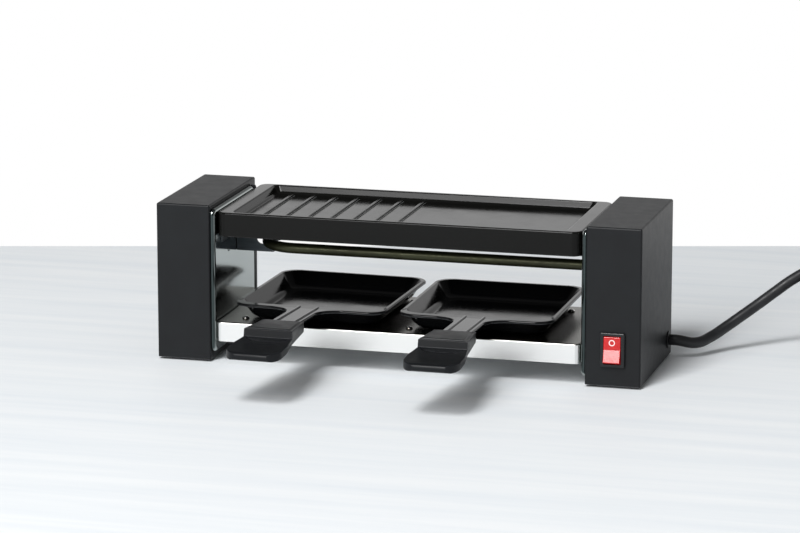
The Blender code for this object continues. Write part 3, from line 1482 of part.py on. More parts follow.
def coil_route():
    """The points along the coil, with a straight stretch at each end, and the ways it starts and ends."""
    count = round(COIL_TURNS * COIL_POINTS_PER_TURN)
    angles = [TURN * COIL_TURNS * i / count for i in range(count + 1)]
    loose = [spiral_point(angle, Vector((0, 0, 0))) for angle in angles]
    way_in = (loose[1] - loose[0]).normalized()
    way_out = (loose[-1] - loose[-2]).normalized()
    exit_place = cord_exit()
    start = Vector((exit_place.x + COIL_START[0], exit_place.y + COIL_START[1], COIL_HEIGHT))
    shift = start + 2 * CORD_RADIUS * way_in - loose[0]
    shift.z = 0
    turns = [point + shift for point in loose]
    return [start, *turns, turns[-1] + 2 * CORD_RADIUS * way_out], way_in, way_out, shift


def least_gap_to_itself(points, radius):
    """The least space between two turns of a tube, between its flat stretches."""
    fine = []
    for a, b in zip(points, points[1:]):
        fine += [a.lerp(b, i / 4) for i in range(4)]
    skip = 2 * COIL_POINTS_PER_TURN
    nearest = min((a - b).length for i, a in enumerate(fine) for b in fine[i + skip :])
    return nearest - 2 * radius


def make_coil(points, centre):
    """The wound spare cord and the tie round it."""
    coil = tube("cord_coil", points, CORD_RADIUS, resolution=1)
    shade_round(coil, math.radians(75))
    as_part(coil, (0.02, 0.02, 0.02), 0.6)
    print(f"least gap of the coil to itself: {least_gap_to_itself(points, CORD_RADIUS):.5f} m")
    outward = Vector((math.cos(TIE_ANGLE), math.sin(TIE_ANGLE), 0))
    along = Vector((-outward.y, outward.x, 0))
    near = [point for a, b in zip(points, points[1:]) for point in (a, a.lerp(b, 0.5))]
    near = [point - centre for point in near]
    near = [point for point in near if point.dot(outward) > 0 and abs(point.dot(along)) < TIE_WIDTH]
    room = CORD_RADIUS + TIE_CLEARANCE
    reach = [point.dot(outward) for point in near]
    low_radius, high_radius = min(reach) - room, max(reach) + room
    low, high = TIE_THICKNESS, COIL_HEIGHT + COIL_PITCH + room
    outlines = []
    for extra in (TIE_THICKNESS, 0):
        outlines.append(
            rounded_rectangle(
                high_radius - low_radius + 2 * extra,
                high - low + 2 * extra,
                TIE_CORNER_RADIUS + extra,
                4,
                ((low_radius + high_radius) / 2, (low + high) / 2),
            )
        )
    tie = plate("coil_tie", outlines, TIE_WIDTH, STAND_IN_XZ)
    tie.location = (centre.x, centre.y, 0)
    tie.rotation_euler = (0, 0, TIE_ANGLE)
    as_part(tie, (0.03, 0.03, 0.03), 0.7)


def make_cord():
    """The cord from the housing to the coil, the coil, the tail and the plug."""
    coil, way_in, way_out, centre = coil_route()
    start = cord_exit() + Vector((GAP + GROMMET_FLANGE + GAP, 0, 0))
    end = coil[0] - GAP * way_in
    route = [cord_exit() + Vector(offset) for offset in CORD_ROUTE]
    between = [start + Vector((CORD_LEAD, 0, 0)), *route, end - CORD_LEAD * way_in]
    cord_points = [start, *smooth_route(between, CORD_POINT_STEP), end]
    cord = tube("cord", cord_points, CORD_RADIUS, resolution=2)
    shade_round(cord, math.radians(60))
    as_part(cord, (0.02, 0.02, 0.02), 0.6)
    make_coil(coil, centre)
    heading = math.atan2(way_out.y, way_out.x)
    place = coil[-1] + GAP * way_out
    tail_points = [place, place + CORD_LEAD * way_out]
    rise = PLUG_RADIUS - coil[-1].z
    for i in range(1, TAIL_STEPS + 1):
        share = i / TAIL_STEPS
        ease = 3 * share**2 - 2 * share**3
        turn = heading + TAIL_TURN * ease
        ahead = Vector((math.cos(turn), math.sin(turn), 0))
        next_place = tail_points[-1] + TAIL_LENGTH / TAIL_STEPS * ahead
        next_place.z = coil[-1].z + rise * ease
        tail_points.append(next_place)
    heading += TAIL_TURN
    ahead = Vector((math.cos(heading), math.sin(heading), 0))
    tail_points.append(tail_points[-1] + CORD_LEAD * ahead)
    tail = tube("cord_tail", tail_points, CORD_RADIUS, resolution=2)
    shade_round(tail, math.radians(60))
    as_part(tail, (0.02, 0.02, 0.02), 0.6)
    make_plug(tail_points[-1] + GAP * ahead, heading)
    inside = CORD_INSIDE_LENGTH + GROMMET_FLANGE
    length = inside + route_length(cord_points) + route_length(coil) + route_length(tail_points)
    print(f"length of the cord from its clamp to the plug: {length:.3f} m")


def make_plug(place, heading):
    """The round two-pin plug with its earth clips, which lies on the table on its rim."""
    turned_to = (0, math.radians(90), heading)
    face = PLUG_NOSE_LENGTH + PLUG_GRIP_LENGTH + PLUG_SHOULDER + PLUG_RIM
    body = turned(
        "plug_body",
        [
            (0, face),
            (PLUG_RADIUS - PLUG_EDGE, face),
            (PLUG_RADIUS, face - PLUG_EDGE),
            (PLUG_RADIUS, face - PLUG_RIM),
            (PLUG_GRIP_RADIUS, face - PLUG_RIM - PLUG_SHOULDER),
            (PLUG_GRIP_RADIUS, PLUG_NOSE_LENGTH),
            (PLUG_NOSE_RADIUS, 0),
            (0, 0),
        ],
        steps=32,
    )
    body.location = place
    body.rotation_euler = turned_to
    for way, name in ((-1, "left"), (1, "right")):
        across = way * PLUG_PIN_SPREAD / 2
        bore = cylinder(
            "plug_bore_" + name,
            PLUG_PIN_RADIUS + GAP,
            2 * PLUG_PIN_DEPTH,
            (0, across, face),
            "Z",
            16,
            helper=True,
        )
        cut(body, bore)
        pin = turned(
            "plug_pin_" + name,
            [
                (0, PLUG_PIN_LENGTH),
                (PLUG_PIN_RADIUS / 2, PLUG_PIN_LENGTH),
                (PLUG_PIN_RADIUS, PLUG_PIN_LENGTH - PLUG_PIN_RADIUS / 2),
                (PLUG_PIN_RADIUS, GAP - PLUG_PIN_DEPTH),
                (0, GAP - PLUG_PIN_DEPTH),
            ],
            steps=16,
        )
        pin.location = (0, across, face)
        as_part(pin, (0.75, 0.72, 0.65), 0.25, 1.0)
        recess = box(
            "plug_recess_" + name,
            (
                way * (PLUG_RADIUS - PLUG_CLIP_RECESS) - PLUG_RADIUS * (way < 0),
                -PLUG_CLIP_WIDTH / 2 - GAP,
                face - PLUG_CLIP_LENGTH - GAP,
            ),
            (
                way * (PLUG_RADIUS - PLUG_CLIP_RECESS) + PLUG_RADIUS * (way > 0),
                PLUG_CLIP_WIDTH / 2 + GAP,
                face + CUT_OVERRUN,
            ),
            helper=True,
        )
        cut(body, recess)
        floor = PLUG_RADIUS - PLUG_CLIP_RECESS + GAP
        low_x, high_x = sorted((way * floor, way * (floor + PLUG_CLIP_SHEET)))
        clip = box(
            "plug_clip_" + name,
            (low_x, -PLUG_CLIP_WIDTH / 2, face - PLUG_CLIP_LENGTH),
            (high_x, PLUG_CLIP_WIDTH / 2, face),
        )
        as_part(clip, (0.75, 0.72, 0.65), 0.25, 1.0)
        for piece in (bore, pin, recess, clip):
            piece.parent = body
    as_part(body, (0.02, 0.02, 0.02), 0.55)


def main():
    for side in (LEFT, RIGHT):
        make_housing(side)
        make_base(side)
        make_panel(side)
        make_ledge(side)
    make_grill_plate()
    make_heater()
    make_tray()
    for side in (LEFT, RIGHT):
        make_pan(side)
    make_switch()
    make_limiter()
    make_cord_entry()
    make_wires()
    make_cord()


main()
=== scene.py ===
"""The looks of a table-top raclette grill for two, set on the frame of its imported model.

Each sub-assembly is a class that models its pieces on the bench and dresses them. Lengths are in metres,
+Z is up and -Y points towards the user. Blender 4.5.
"""

import logging
import math
from collections.abc import Callable, Sequence
from dataclasses import dataclass
from enum import Enum
from typing import Any, Self

import bmesh
import bpy
from mathutils import Matrix, Vector

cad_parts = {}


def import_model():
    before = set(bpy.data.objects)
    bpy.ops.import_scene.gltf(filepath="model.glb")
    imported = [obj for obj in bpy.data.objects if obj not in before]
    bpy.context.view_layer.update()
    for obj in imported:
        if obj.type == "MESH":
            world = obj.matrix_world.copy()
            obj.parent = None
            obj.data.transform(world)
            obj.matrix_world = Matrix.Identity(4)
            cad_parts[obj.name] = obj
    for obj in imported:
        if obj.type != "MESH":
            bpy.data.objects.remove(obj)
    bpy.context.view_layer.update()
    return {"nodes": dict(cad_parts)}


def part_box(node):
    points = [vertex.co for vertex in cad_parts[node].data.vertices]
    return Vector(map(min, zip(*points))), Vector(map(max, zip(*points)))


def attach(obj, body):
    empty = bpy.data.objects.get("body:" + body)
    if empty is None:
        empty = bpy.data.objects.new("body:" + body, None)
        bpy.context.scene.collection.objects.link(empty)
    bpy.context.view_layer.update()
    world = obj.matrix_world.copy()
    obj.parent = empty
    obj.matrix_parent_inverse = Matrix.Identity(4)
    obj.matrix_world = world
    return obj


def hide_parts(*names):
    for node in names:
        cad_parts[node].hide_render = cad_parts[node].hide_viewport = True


frame: dict[str, Any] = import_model()

LOG = logging.getLogger("raclette_grill")

Place = Sequence[float]
Shade = tuple[int, int, int]
Test = Callable[[Vector, Vector], bool]
Object = bpy.types.Object
Material = bpy.types.Material
Socket = bpy.types.NodeSocket

NEAR = 0.00001
FIT = 0.0003
OVERRUN = 0.002
CLOSE = 0.0001
ALONG = 0.9
ENDS = ("front", "back")


class Side(Enum):
    """The two ends of the grill, as the user sees them."""

    LEFT = -1
    RIGHT = 1

    @property
    def word(self) -> str:
        """The side's name, as the node names have it."""
        return self.name.lower()

    def inner(self, low: Vector, high: Vector) -> float:
        """Give the X of a box's face that looks at the pan bay."""
        return high.x if self is Side.LEFT else low.x

    def outer(self, low: Vector, high: Vector) -> float:
        """Give the X of a box's face that looks away from the pan bay."""
        return low.x if self is Side.LEFT else high.x


class Axis(Enum):
    """An axis, with the turn that takes an upright piece there."""

    X = (0.0, math.pi / 2, 0.0)
    Y = (-math.pi / 2, 0.0, 0.0)
    Z = (0.0, 0.0, 0.0)

    def of(self, vector: Vector) -> float:
        """Give a vector's share along the axis."""
        return getattr(vector, self.name.lower())


class Pick(Enum):
    """What a selection is made of."""

    FACES = "FACE"
    EDGES = "EDGE"
    POINTS = "VERT"


class Carve(Enum):
    """What a second shape does to the first."""

    CUT = "DIFFERENCE"
    KEEP_COMMON = "INTERSECT"
    WELD = "UNION"


def level(value: float, target: float, room: float = NEAR) -> bool:
    """Tell whether two coordinates agree within some room."""
    return abs(value - target) < room


def middle_of(node: str) -> Vector:
    """Give the middle of a node's box."""
    low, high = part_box(node)
    return (low + high) / 2


def screen_colour(shade: Shade) -> tuple[float, ...]:
    """Turn a colour as a screen shows it into the linear one that shaders take.

    Args:
        shade: Red, green and blue, from 0 to 255.

    Returns:
        The linear colour with its alpha.
    """
    found = []
    for value in shade:
        share = value / 255
        found.append(share / 12.92 if share <= 0.04045 else ((share + 0.055) / 1.055) ** 2.4)
    return (*found, 1.0)


class NodeSheet:
    """A sheet of shader nodes, of a material or of the world."""

    def __init__(self, tree: bpy.types.NodeTree) -> None:
        """Take the tree that the nodes go into."""
        self.tree = tree

    def add(self, kind: str, inputs: dict[str | int, Any], **settings: Any) -> bpy.types.Node:
        """Add a node and feed it.

        Args:
            kind: Blender's name for the node, without its first word.
            inputs: An output of another node, or a plain value, for each socket.
            **settings: The node's own settings.

        Returns:
            The node.
        """
        node = self.tree.nodes.new(f"ShaderNode{kind}")
        for name, value in settings.items():
            setattr(node, name, value)
        for socket, source in inputs.items():
            if isinstance(source, Socket):
                self.tree.links.new(source, node.inputs[socket])
            else:
                node.inputs[socket].default_value = source
        return node

    def along(self, axis: Axis, place: Socket) -> Socket:
        """Give a place's coordinate along an axis."""
        return self.add("SeparateXYZ", {0: place}).outputs[axis.name]

    def combined(self, how: str, first: Socket, second: Socket) -> Socket:
        """Work out one value from two, by Blender's name for the sum."""
        return self.add("Math", {0: first, 1: second}, operation=how).outputs[0]

    def ranged(self, value: Socket, low: float, high: float, start: float = 0.0, end: float = 1.0) -> Socket:
        """Map a value from start and end to low and high, and hold it there beyond them."""
        inputs = {"Value": value, "From Min": start, "From Max": end, "To Min": low, "To Max": high}
        return self.add("MapRange", inputs).outputs["Result"]


class ShaderSheet(NodeSheet):
    """The node sheet of one material, with patterns that lie still on the piece."""

    EDGE_SAMPLES = 6
    EDGE_REACH = 0.0006
    EDGE_TURNS = (0.9, 0.99)
    EDGE_PATCHES = (0.35, 1.0)
    EDGE_PATCH_SCALE = 260

    def __init__(self, name: str, **sockets: Any) -> None:
        """Start a material.

        Args:
            name: The material's name.
            **sockets: What is the same all over it, by the shader's socket names with _ for each space.
        """
        self.material = bpy.data.materials.new(name)
        self.material.use_nodes = True
        super().__init__(self.material.node_tree)
        self.shader = self.tree.nodes["Principled BSDF"]
        self.coordinates = self.add("TexCoord", {}).outputs["Object"]
        for socket, value in sockets.items():
            self.shader.inputs[socket.replace("_", " ")].default_value = value

    def noise(
        self, scale: float, detail: float = 3.0, factors: Place = (1, 1, 1), roughness: float = 0.5
    ) -> Socket:
        """Add cloudy noise.

        Args:
            scale: Features per metre.
            detail: How many finer layers it has.
            factors: How it is drawn out along each axis.
            roughness: How strong the finer layers are.

        Returns:
            The noise, from 0 to 1.
        """
        drawn = self.add("Mapping", {"Vector": self.coordinates, "Scale": factors}).outputs["Vector"]
        inputs = {"Vector": drawn, "Scale": scale, "Detail": detail, "Roughness": roughness}
        return self.add("TexNoise", inputs).outputs["Fac"]

    def cloudy(
        self, low: float, high: float, scale: float, detail: float = 3, start: float = 0.3, end: float = 0.7,
        **looks: Any,
    ) -> Socket:
        """Let noise vary a value from low to high, where the noise goes from start to end."""
        return self.ranged(self.noise(scale, detail, **looks), low, high, start, end)

    def cells(self, scale: float) -> Socket:
        """Add a pattern of cells, for moulded grain and speckle."""
        return self.add("TexVoronoi", {"Vector": self.coordinates, "Scale": scale}).outputs["Distance"]

    def mixed(self, share: Socket, first: Socket | Shade, second: Socket | Shade) -> Socket:
        """Mix two colours.

        Args:
            share: 0 for the first colour, 1 for the second.
            first: The first colour, plain or from a pattern.
            second: The second colour, plain or from a pattern.

        Returns:
            The mixed colour.
        """
        inputs: dict[str | int, Any] = {0: share}
        for socket, colour in ((6, first), (7, second)):
            inputs[socket] = screen_colour(colour) if isinstance(colour, tuple) else colour
        return self.add("Mix", inputs, data_type="RGBA").outputs[2]

    def worn_edges(self, colour: Socket, worn_highlit_colour: Shade, amount: float) -> Socket:
        """Lighten a colour along the piece's edges: wear where it rubs, and a painted highlight where an
        edge would catch the light.

        Args:
            colour: The colour of the faces.
            worn_highlit_colour: The colour of a worn edge, which also serves as its painted highlight.
            amount: How far an edge goes to it.

        Returns:
            The colour with worn edges.
        """
        rounded = self.add("Bevel", {"Radius": self.EDGE_REACH}, samples=self.EDGE_SAMPLES).outputs["Normal"]
        inputs = {0: self.add("NewGeometry", {}).outputs["Normal"], 1: rounded}
        turned = self.add("VectorMath", inputs, operation="DOT_PRODUCT").outputs["Value"]
        edge = self.ranged(turned, amount, 0.0, *self.EDGE_TURNS)
        patches = self.cloudy(*self.EDGE_PATCHES, self.EDGE_PATCH_SCALE)
        return self.mixed(self.combined("MULTIPLY", edge, patches), colour, worn_highlit_colour)

    def at_height(self, height: float, blend: float) -> Socket:
        """Give 1 at a height, and 0 past a short blend below and above it.

        Args:
            height: The height.
            blend: The length of the blend.

        Returns:
            The share.
        """
        z = self.along(Axis.Z, self.coordinates)
        under = self.ranged(z, 0.0, 1.0, height - 2 * blend, height - blend)
        over = self.ranged(z, 1.0, 0.0, height + blend, height + 2 * blend)
        return self.combined("MULTIPLY", under, over)

    def in_front_of(self, front: float, blend: float) -> Socket:
        """Give 1 in front of a place in Y, and 0 past a short blend behind it."""
        return self.ranged(self.along(Axis.Y, self.coordinates), 1.0, 0.0, front, front + blend)

    def bump(self, height: Socket, strength: float, distance: float, under: Socket | None = None) -> Socket:
        """Raise a relief from a height.

        Args:
            height: The height, from 0 to 1.
            strength: How much of it shows.
            distance: How high 1 is.
            under: A relief that this one lies on.

        Returns:
            The bent normal.
        """
        inputs = {"Height": height, "Strength": strength, "Distance": distance}
        if under is not None:
            inputs["Normal"] = under
        return self.add("Bump", inputs).outputs["Normal"]

    def done(self, colour: Socket, roughness: Socket, normal: Socket) -> Material:
        """Join the patterns to the shader.

        Args:
            colour: The base colour.
            roughness: The roughness.
            normal: The relief.

        Returns:
            The finished material.
        """
        for name, source in (("Base Color", colour), ("Roughness", roughness), ("Normal", normal)):
            self.tree.links.new(source, self.shader.inputs[name])
        return self.material


@dataclass(frozen=True)
class MouldedPlastic:
    """Matt moulded plastic with a fine eroded grain, and edges lightened by wear and by a painted highlight.
    """

    name: str
    colour: Shade
    deep: Shade
    rubbed: Shade
    edge_wear: float = 0.5
    grain: float = 2600.0
    relief: float = 0.00002
    matt: float = 0.45
    gloss: float = 0.40
    shine: float = 0.2

    def material(self) -> Material:
        """Mix the finish.

        Returns:
            The material.
        """
        sheet = ShaderSheet(self.name, Specular_IOR_Level=self.shine)
        colour = sheet.mixed(sheet.cloudy(0, 1, 60, 5), self.colour, self.deep)
        colour = sheet.worn_edges(colour, self.rubbed, self.edge_wear)
        roughness = sheet.cloudy(self.gloss, self.matt, 140, 5, roughness=0.65)
        grain = sheet.bump(sheet.cells(self.grain), 0.25, self.relief)
        return sheet.done(colour, roughness, sheet.bump(sheet.noise(900, 2), 0.08, self.relief, grain))


@dataclass(frozen=True)
class BrushedSteel:
    """Rolled sheet steel with fine lines along one axis and faint finger marks."""

    name: str
    colour: Shade
    deep: Shade
    lines: Place
    gloss: float = 0.18
    matt: float = 0.34
    relief: float = 0.000008

    def material(self) -> Material:
        """Mix the finish.

        Returns:
            The material.
        """
        sheet = ShaderSheet(self.name, Metallic=1.0)
        streaks = sheet.noise(900, 4, self.lines)
        colour = sheet.mixed(sheet.ranged(streaks, 0, 1, 0.3, 0.7), self.colour, self.deep)
        marks = sheet.cloudy(self.gloss, self.matt, 34, 5, 0.35, roughness=0.7)
        return sheet.done(colour, marks, sheet.bump(streaks, 0.3, self.relief))


@dataclass(frozen=True)
class PolishedSteel:
    """Bright rolled steel, slightly wavy, with wipe marks in its shine and, where set, a painted dark
    reflection on a front flange and at one level.
    """

    name: str
    colour: Shade
    deep: Shade
    gloss: float = 0.05
    matt: float = 0.14
    flange: Shade | None = None
    flange_at: float = 0.0
    flange_blend: float = 0.001
    level_tint: Shade | None = None
    level: float = 0.0
    level_blend: float = 0.0004
    wave: float = 0.00006

    def material(self) -> Material:
        """Mix the finish, with a painted dark reflection on a front flange and at a level where it has them.

        Returns:
            The material.
        """
        sheet = ShaderSheet(self.name, Metallic=1.0)
        colour = sheet.mixed(sheet.cloudy(0, 1, 16, 4), self.colour, self.deep)
        # Painted dark reflection: a dark tint on a front flange and at one level, where the steel would
        # mirror dark things.
        if self.flange is not None:
            colour = sheet.mixed(sheet.in_front_of(self.flange_at, self.flange_blend), colour, self.flange)
        if self.level_tint is not None:
            colour = sheet.mixed(sheet.at_height(self.level, self.level_blend), colour, self.level_tint)
        wiped = sheet.cloudy(
            self.gloss, self.matt, 70, 5, 0.35, 0.72, factors=(1.0, 0.25, 1.0), roughness=0.7
        )
        return sheet.done(colour, wiped, sheet.bump(sheet.noise(45, 1), 0.10, self.wave))


@dataclass(frozen=True)
class NonStickCoating:
    """A dark baked coating with a slight orange peel, tiny flecks, and edges lightened by wear and by a
    painted highlight.
    """

    name: str
    colour: Shade
    fleck: Shade
    rubbed: Shade
    gloss: float = 0.10
    matt: float = 0.17
    edge_wear: float = 0.7
    shine: float = 0.13
    peel: float = 0.00003
    grain: float = 0.00001

    def material(self) -> Material:
        """Mix the finish.

        Returns:
            The material.
        """
        sheet = ShaderSheet(self.name, Specular_IOR_Level=self.shine)
        colour = sheet.mixed(sheet.cloudy(0, 1, 1500, 2, 0.64, 0.72), self.colour, self.fleck)
        colour = sheet.worn_edges(colour, self.rubbed, self.edge_wear)
        roughness = sheet.cloudy(self.gloss, self.matt, 60, 5, roughness=0.65)
        peel = sheet.bump(sheet.noise(420, 2), 0.08, self.peel)
        return sheet.done(colour, roughness, sheet.bump(sheet.cells(3000), 0.05, self.grain, peel))


@dataclass(frozen=True)
class ScaledTube:
    """The oxidised sheath of a heating element, with heat colours along it."""

    name: str
    colour: Shade
    burnt: Shade
    gloss: float = 0.30
    matt: float = 0.48
    relief: float = 0.00002

    def material(self) -> Material:
        """Mix the finish.

        Returns:
            The material.
        """
        sheet = ShaderSheet(self.name, Metallic=0.7)
        burnt = sheet.cloudy(0, 1, 55, 5, 0.32, 0.68, factors=(0.4, 1, 1), roughness=0.7)
        colour = sheet.mixed(burnt, self.colour, self.burnt)
        relief = sheet.bump(sheet.noise(1200, 3), 0.25, self.relief)
        return sheet.done(colour, sheet.cloudy(self.gloss, self.matt, 300, 4), relief)


@dataclass(frozen=True)
class LampRed:
    """Clear red plastic of a lit rocker, glossy and a little see-through."""

    name: str
    colour: Shade
    deep: Shade
    gloss: float = 0.05
    matt: float = 0.10
    relief: float = 0.00003

    def material(self) -> Material:
        """Mix the finish.

        Returns:
            The material.
        """
        sheet = ShaderSheet(
            self.name,
            Coat_Weight=0.3,
            Coat_Roughness=0.06,
            Specular_IOR_Level=0.4,
            Transmission_Weight=0.1,
            Subsurface_Weight=0.15,
            Subsurface_Radius=(0.003, 0.0006, 0.0004),
            Subsurface_Scale=1.0,
            Emission_Color=(0.5, 0.005, 0.005, 1),
            Emission_Strength=0.12,
        )
        colour = sheet.mixed(sheet.cloudy(0, 1, 300), self.colour, self.deep)
        relief = sheet.bump(sheet.noise(700, 2), 0.08, self.relief)
        return sheet.done(colour, sheet.cloudy(self.gloss, self.matt, 500, 4), relief)


@dataclass(frozen=True)
class Sheath:
    """Soft rubber or plastic of cords, wires, grommets and feet."""

    name: str
    colour: Shade
    dusty: Shade
    gloss: float = 0.36
    matt: float = 0.55
    relief: float = 0.00003

    def material(self) -> Material:
        """Mix the finish.

        Returns:
            The material.
        """
        sheet = ShaderSheet(self.name, Specular_IOR_Level=0.42)
        dust = sheet.cloudy(0, 1, 120, 5, 0.38, 0.75, roughness=0.7)
        colour = sheet.mixed(dust, self.colour, self.dusty)
        relief = sheet.bump(sheet.noise(900, 3), 0.2, self.relief)
        return sheet.done(colour, sheet.cloudy(self.gloss, self.matt, 220, 4), relief)


@dataclass(frozen=True)
class SmallMetal:
    """Plated metal of screws, pins, tabs and rivets."""

    name: str
    colour: Shade
    dull: Shade
    gloss: float = 0.20
    matt: float = 0.40
    relief: float = 0.00001

    def material(self) -> Material:
        """Mix the finish.

        Returns:
            The material.
        """
        sheet = ShaderSheet(self.name, Metallic=1.0)
        colour = sheet.mixed(sheet.cloudy(0, 1, 400, 4, 0.35, roughness=0.6), self.colour, self.dull)
        relief = sheet.bump(sheet.noise(2500, 2), 0.2, self.relief)
        return sheet.done(colour, sheet.cloudy(self.gloss, self.matt, 700), relief)


@dataclass(frozen=True)
class Ceramic:
    """Fired, slightly chalky ceramic."""

    name: str
    colour: Shade
    stained: Shade
    gloss: float = 0.5
    matt: float = 0.7
    relief: float = 0.00002

    def material(self) -> Material:
        """Mix the finish.

        Returns:
            The material.
        """
        sheet = ShaderSheet(self.name)
        colour = sheet.mixed(sheet.cloudy(0, 1, 350, 4, 0.4, 0.75), self.colour, self.stained)
        relief = sheet.bump(sheet.noise(2200, 3), 0.3, self.relief)
        return sheet.done(colour, sheet.cloudy(self.gloss, self.matt, 900), relief)


@dataclass(frozen=True)
class PaleTable:
    """A plain pale table top, a little cool, with the faintest grain."""

    name: str = "table_top"
    colour: Shade = (236, 239, 241)
    grain: Shade = (226, 231, 235)
    gloss: float = 0.55
    matt: float = 0.65
    relief: float = 0.0001

    def material(self) -> Material:
        """Mix the finish.

        Returns:
            The material.
        """
        sheet = ShaderSheet(self.name, Specular_IOR_Level=0.25)
        lines = sheet.cloudy(0, 1, 9, 5, 0.35, factors=(0.35, 6.0, 1.0), roughness=0.6)
        colour = sheet.mixed(lines, self.colour, self.grain)
        roughness = sheet.ranged(lines, self.gloss, self.matt)
        return sheet.done(colour, roughness, sheet.bump(lines, 0.05, self.relief))


class Finishes:
    """Every finish of the grill, mixed once and handed out by what it is on."""

    def __init__(self) -> None:
        """Mix all the finishes."""
        black, soft_black = (18, 19, 20), (28, 29, 31)
        # The case's edge colour, far lighter than its faces, paints a highlight along every edge.
        self.case = MouldedPlastic("case_plastic", (25, 27, 29), (23, 24, 26), (158, 161, 164)).material()
        self.base = MouldedPlastic("base_plastic", black, soft_black, (54, 56, 60)).material()
        self.handle = MouldedPlastic(
            "handle_plastic", (14, 16, 19), (12, 14, 17), (58, 62, 68),
            grain=3400, relief=0.000012, matt=0.40, gloss=0.32, shine=0.22,
        ).material()
        self.switch = MouldedPlastic(
            "switch_plastic", (24, 25, 27), (19, 20, 22), (66, 68, 72), matt=0.30, gloss=0.22, shine=0.34
        ).material()
        self.rocker = LampRed("rocker_plastic", (196, 6, 10), (178, 4, 8)).material()
        self.mark = Sheath("rocker_mark", (246, 224, 222), (236, 208, 206)).material()
        cover_low, cover_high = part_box("left_side_panel")
        # The dark teal on the cover's front flange and along its top edge is a painted dark reflection.
        self.cover = PolishedSteel(
            "cover_steel", (180, 186, 184), (168, 175, 173), gloss=0.09, matt=0.18,
            flange=(66, 74, 74), flange_at=cover_low.y + FIT,
            level_tint=(66, 74, 74), level=cover_high.z, level_blend=0.0007,
        ).material()
        # The dark tint over the tray's top is a painted dark reflection; the light front is the steel's own
        # colour.
        self.tray = PolishedSteel(
            "tray_steel", (240, 240, 238), (234, 234, 233), gloss=0.23, matt=0.28,
            level_tint=(84, 82, 76), level=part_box("bottom_tray")[1].z - Tray.dimple_height,
        ).material()
        # The plate's near-white edge colour paints a highlight along its rim and skirt edges.
        self.plate = NonStickCoating(
            "plate_coating", (15, 15, 14), (21, 21, 20), (188, 190, 190), edge_wear=0.85
        ).material()
        self.pan = NonStickCoating(
            "pan_coating", (14, 15, 16), (20, 21, 23), (96, 98, 100),
            gloss=0.08, matt=0.15, edge_wear=0.6, shine=0.16,
        ).material()
        self.ledge = BrushedSteel("ledge_steel", (84, 88, 90), (70, 74, 76), (1.0, 0.05, 1.0)).material()
        self.heater = ScaledTube("heater_steel", (66, 68, 46), (46, 46, 34)).material()
        self.bushing = SmallMetal("bushing_steel", (176, 176, 170), (140, 138, 130)).material()
        self.ceramic = Ceramic("ceramic", (226, 222, 208), (206, 198, 178)).material()
        # The bracket's dark colour is painted shade and dark reflection from under the plate.
        self.bracket = BrushedSteel(
            "bracket_steel", (62, 66, 69), (50, 54, 57), (0.04, 1.0, 1.0), gloss=0.28, matt=0.42
        ).material()
        self.screw = SmallMetal("screw_steel", (200, 200, 196), (168, 168, 164)).material()
        self.brass = SmallMetal("terminal_metal", (214, 196, 150), (184, 164, 120)).material()
        self.plated = SmallMetal("plug_metal", (206, 204, 198), (176, 174, 168)).material()
        self.limiter = Ceramic("limiter_case", (190, 182, 160), (164, 152, 128)).material()
        self.cord = Sheath("cord_rubber", (25, 26, 28), (34, 35, 38)).material()
        self.grommet = Sheath("grommet_rubber", black, soft_black).material()
        self.foot = Sheath("foot_rubber", black, soft_black, gloss=0.6, matt=0.75).material()
        self.tie = Sheath("tie_rubber", (44, 45, 47), (60, 61, 64)).material()
        self.plug = Sheath("plug_plastic", (34, 35, 37), (46, 47, 50)).material()
        self.clamp = Sheath("clamp_plastic", (206, 204, 198), (190, 188, 180)).material()
        self.live = Sheath("wire_live", (96, 58, 34), (84, 50, 30), relief=0.00001).material()
        self.neutral = Sheath("wire_neutral", (36, 86, 168), (30, 74, 150)).material()
        self.earth = Sheath("wire_earth", (120, 160, 40), (196, 190, 40)).material()
        self.sleeve = Sheath("wire_inner", (214, 212, 206), (198, 194, 186)).material()


def paint(piece: Object, material: Material) -> None:
    """Give a piece one material and no other."""
    piece.data.materials.clear()
    piece.data.materials.append(material)


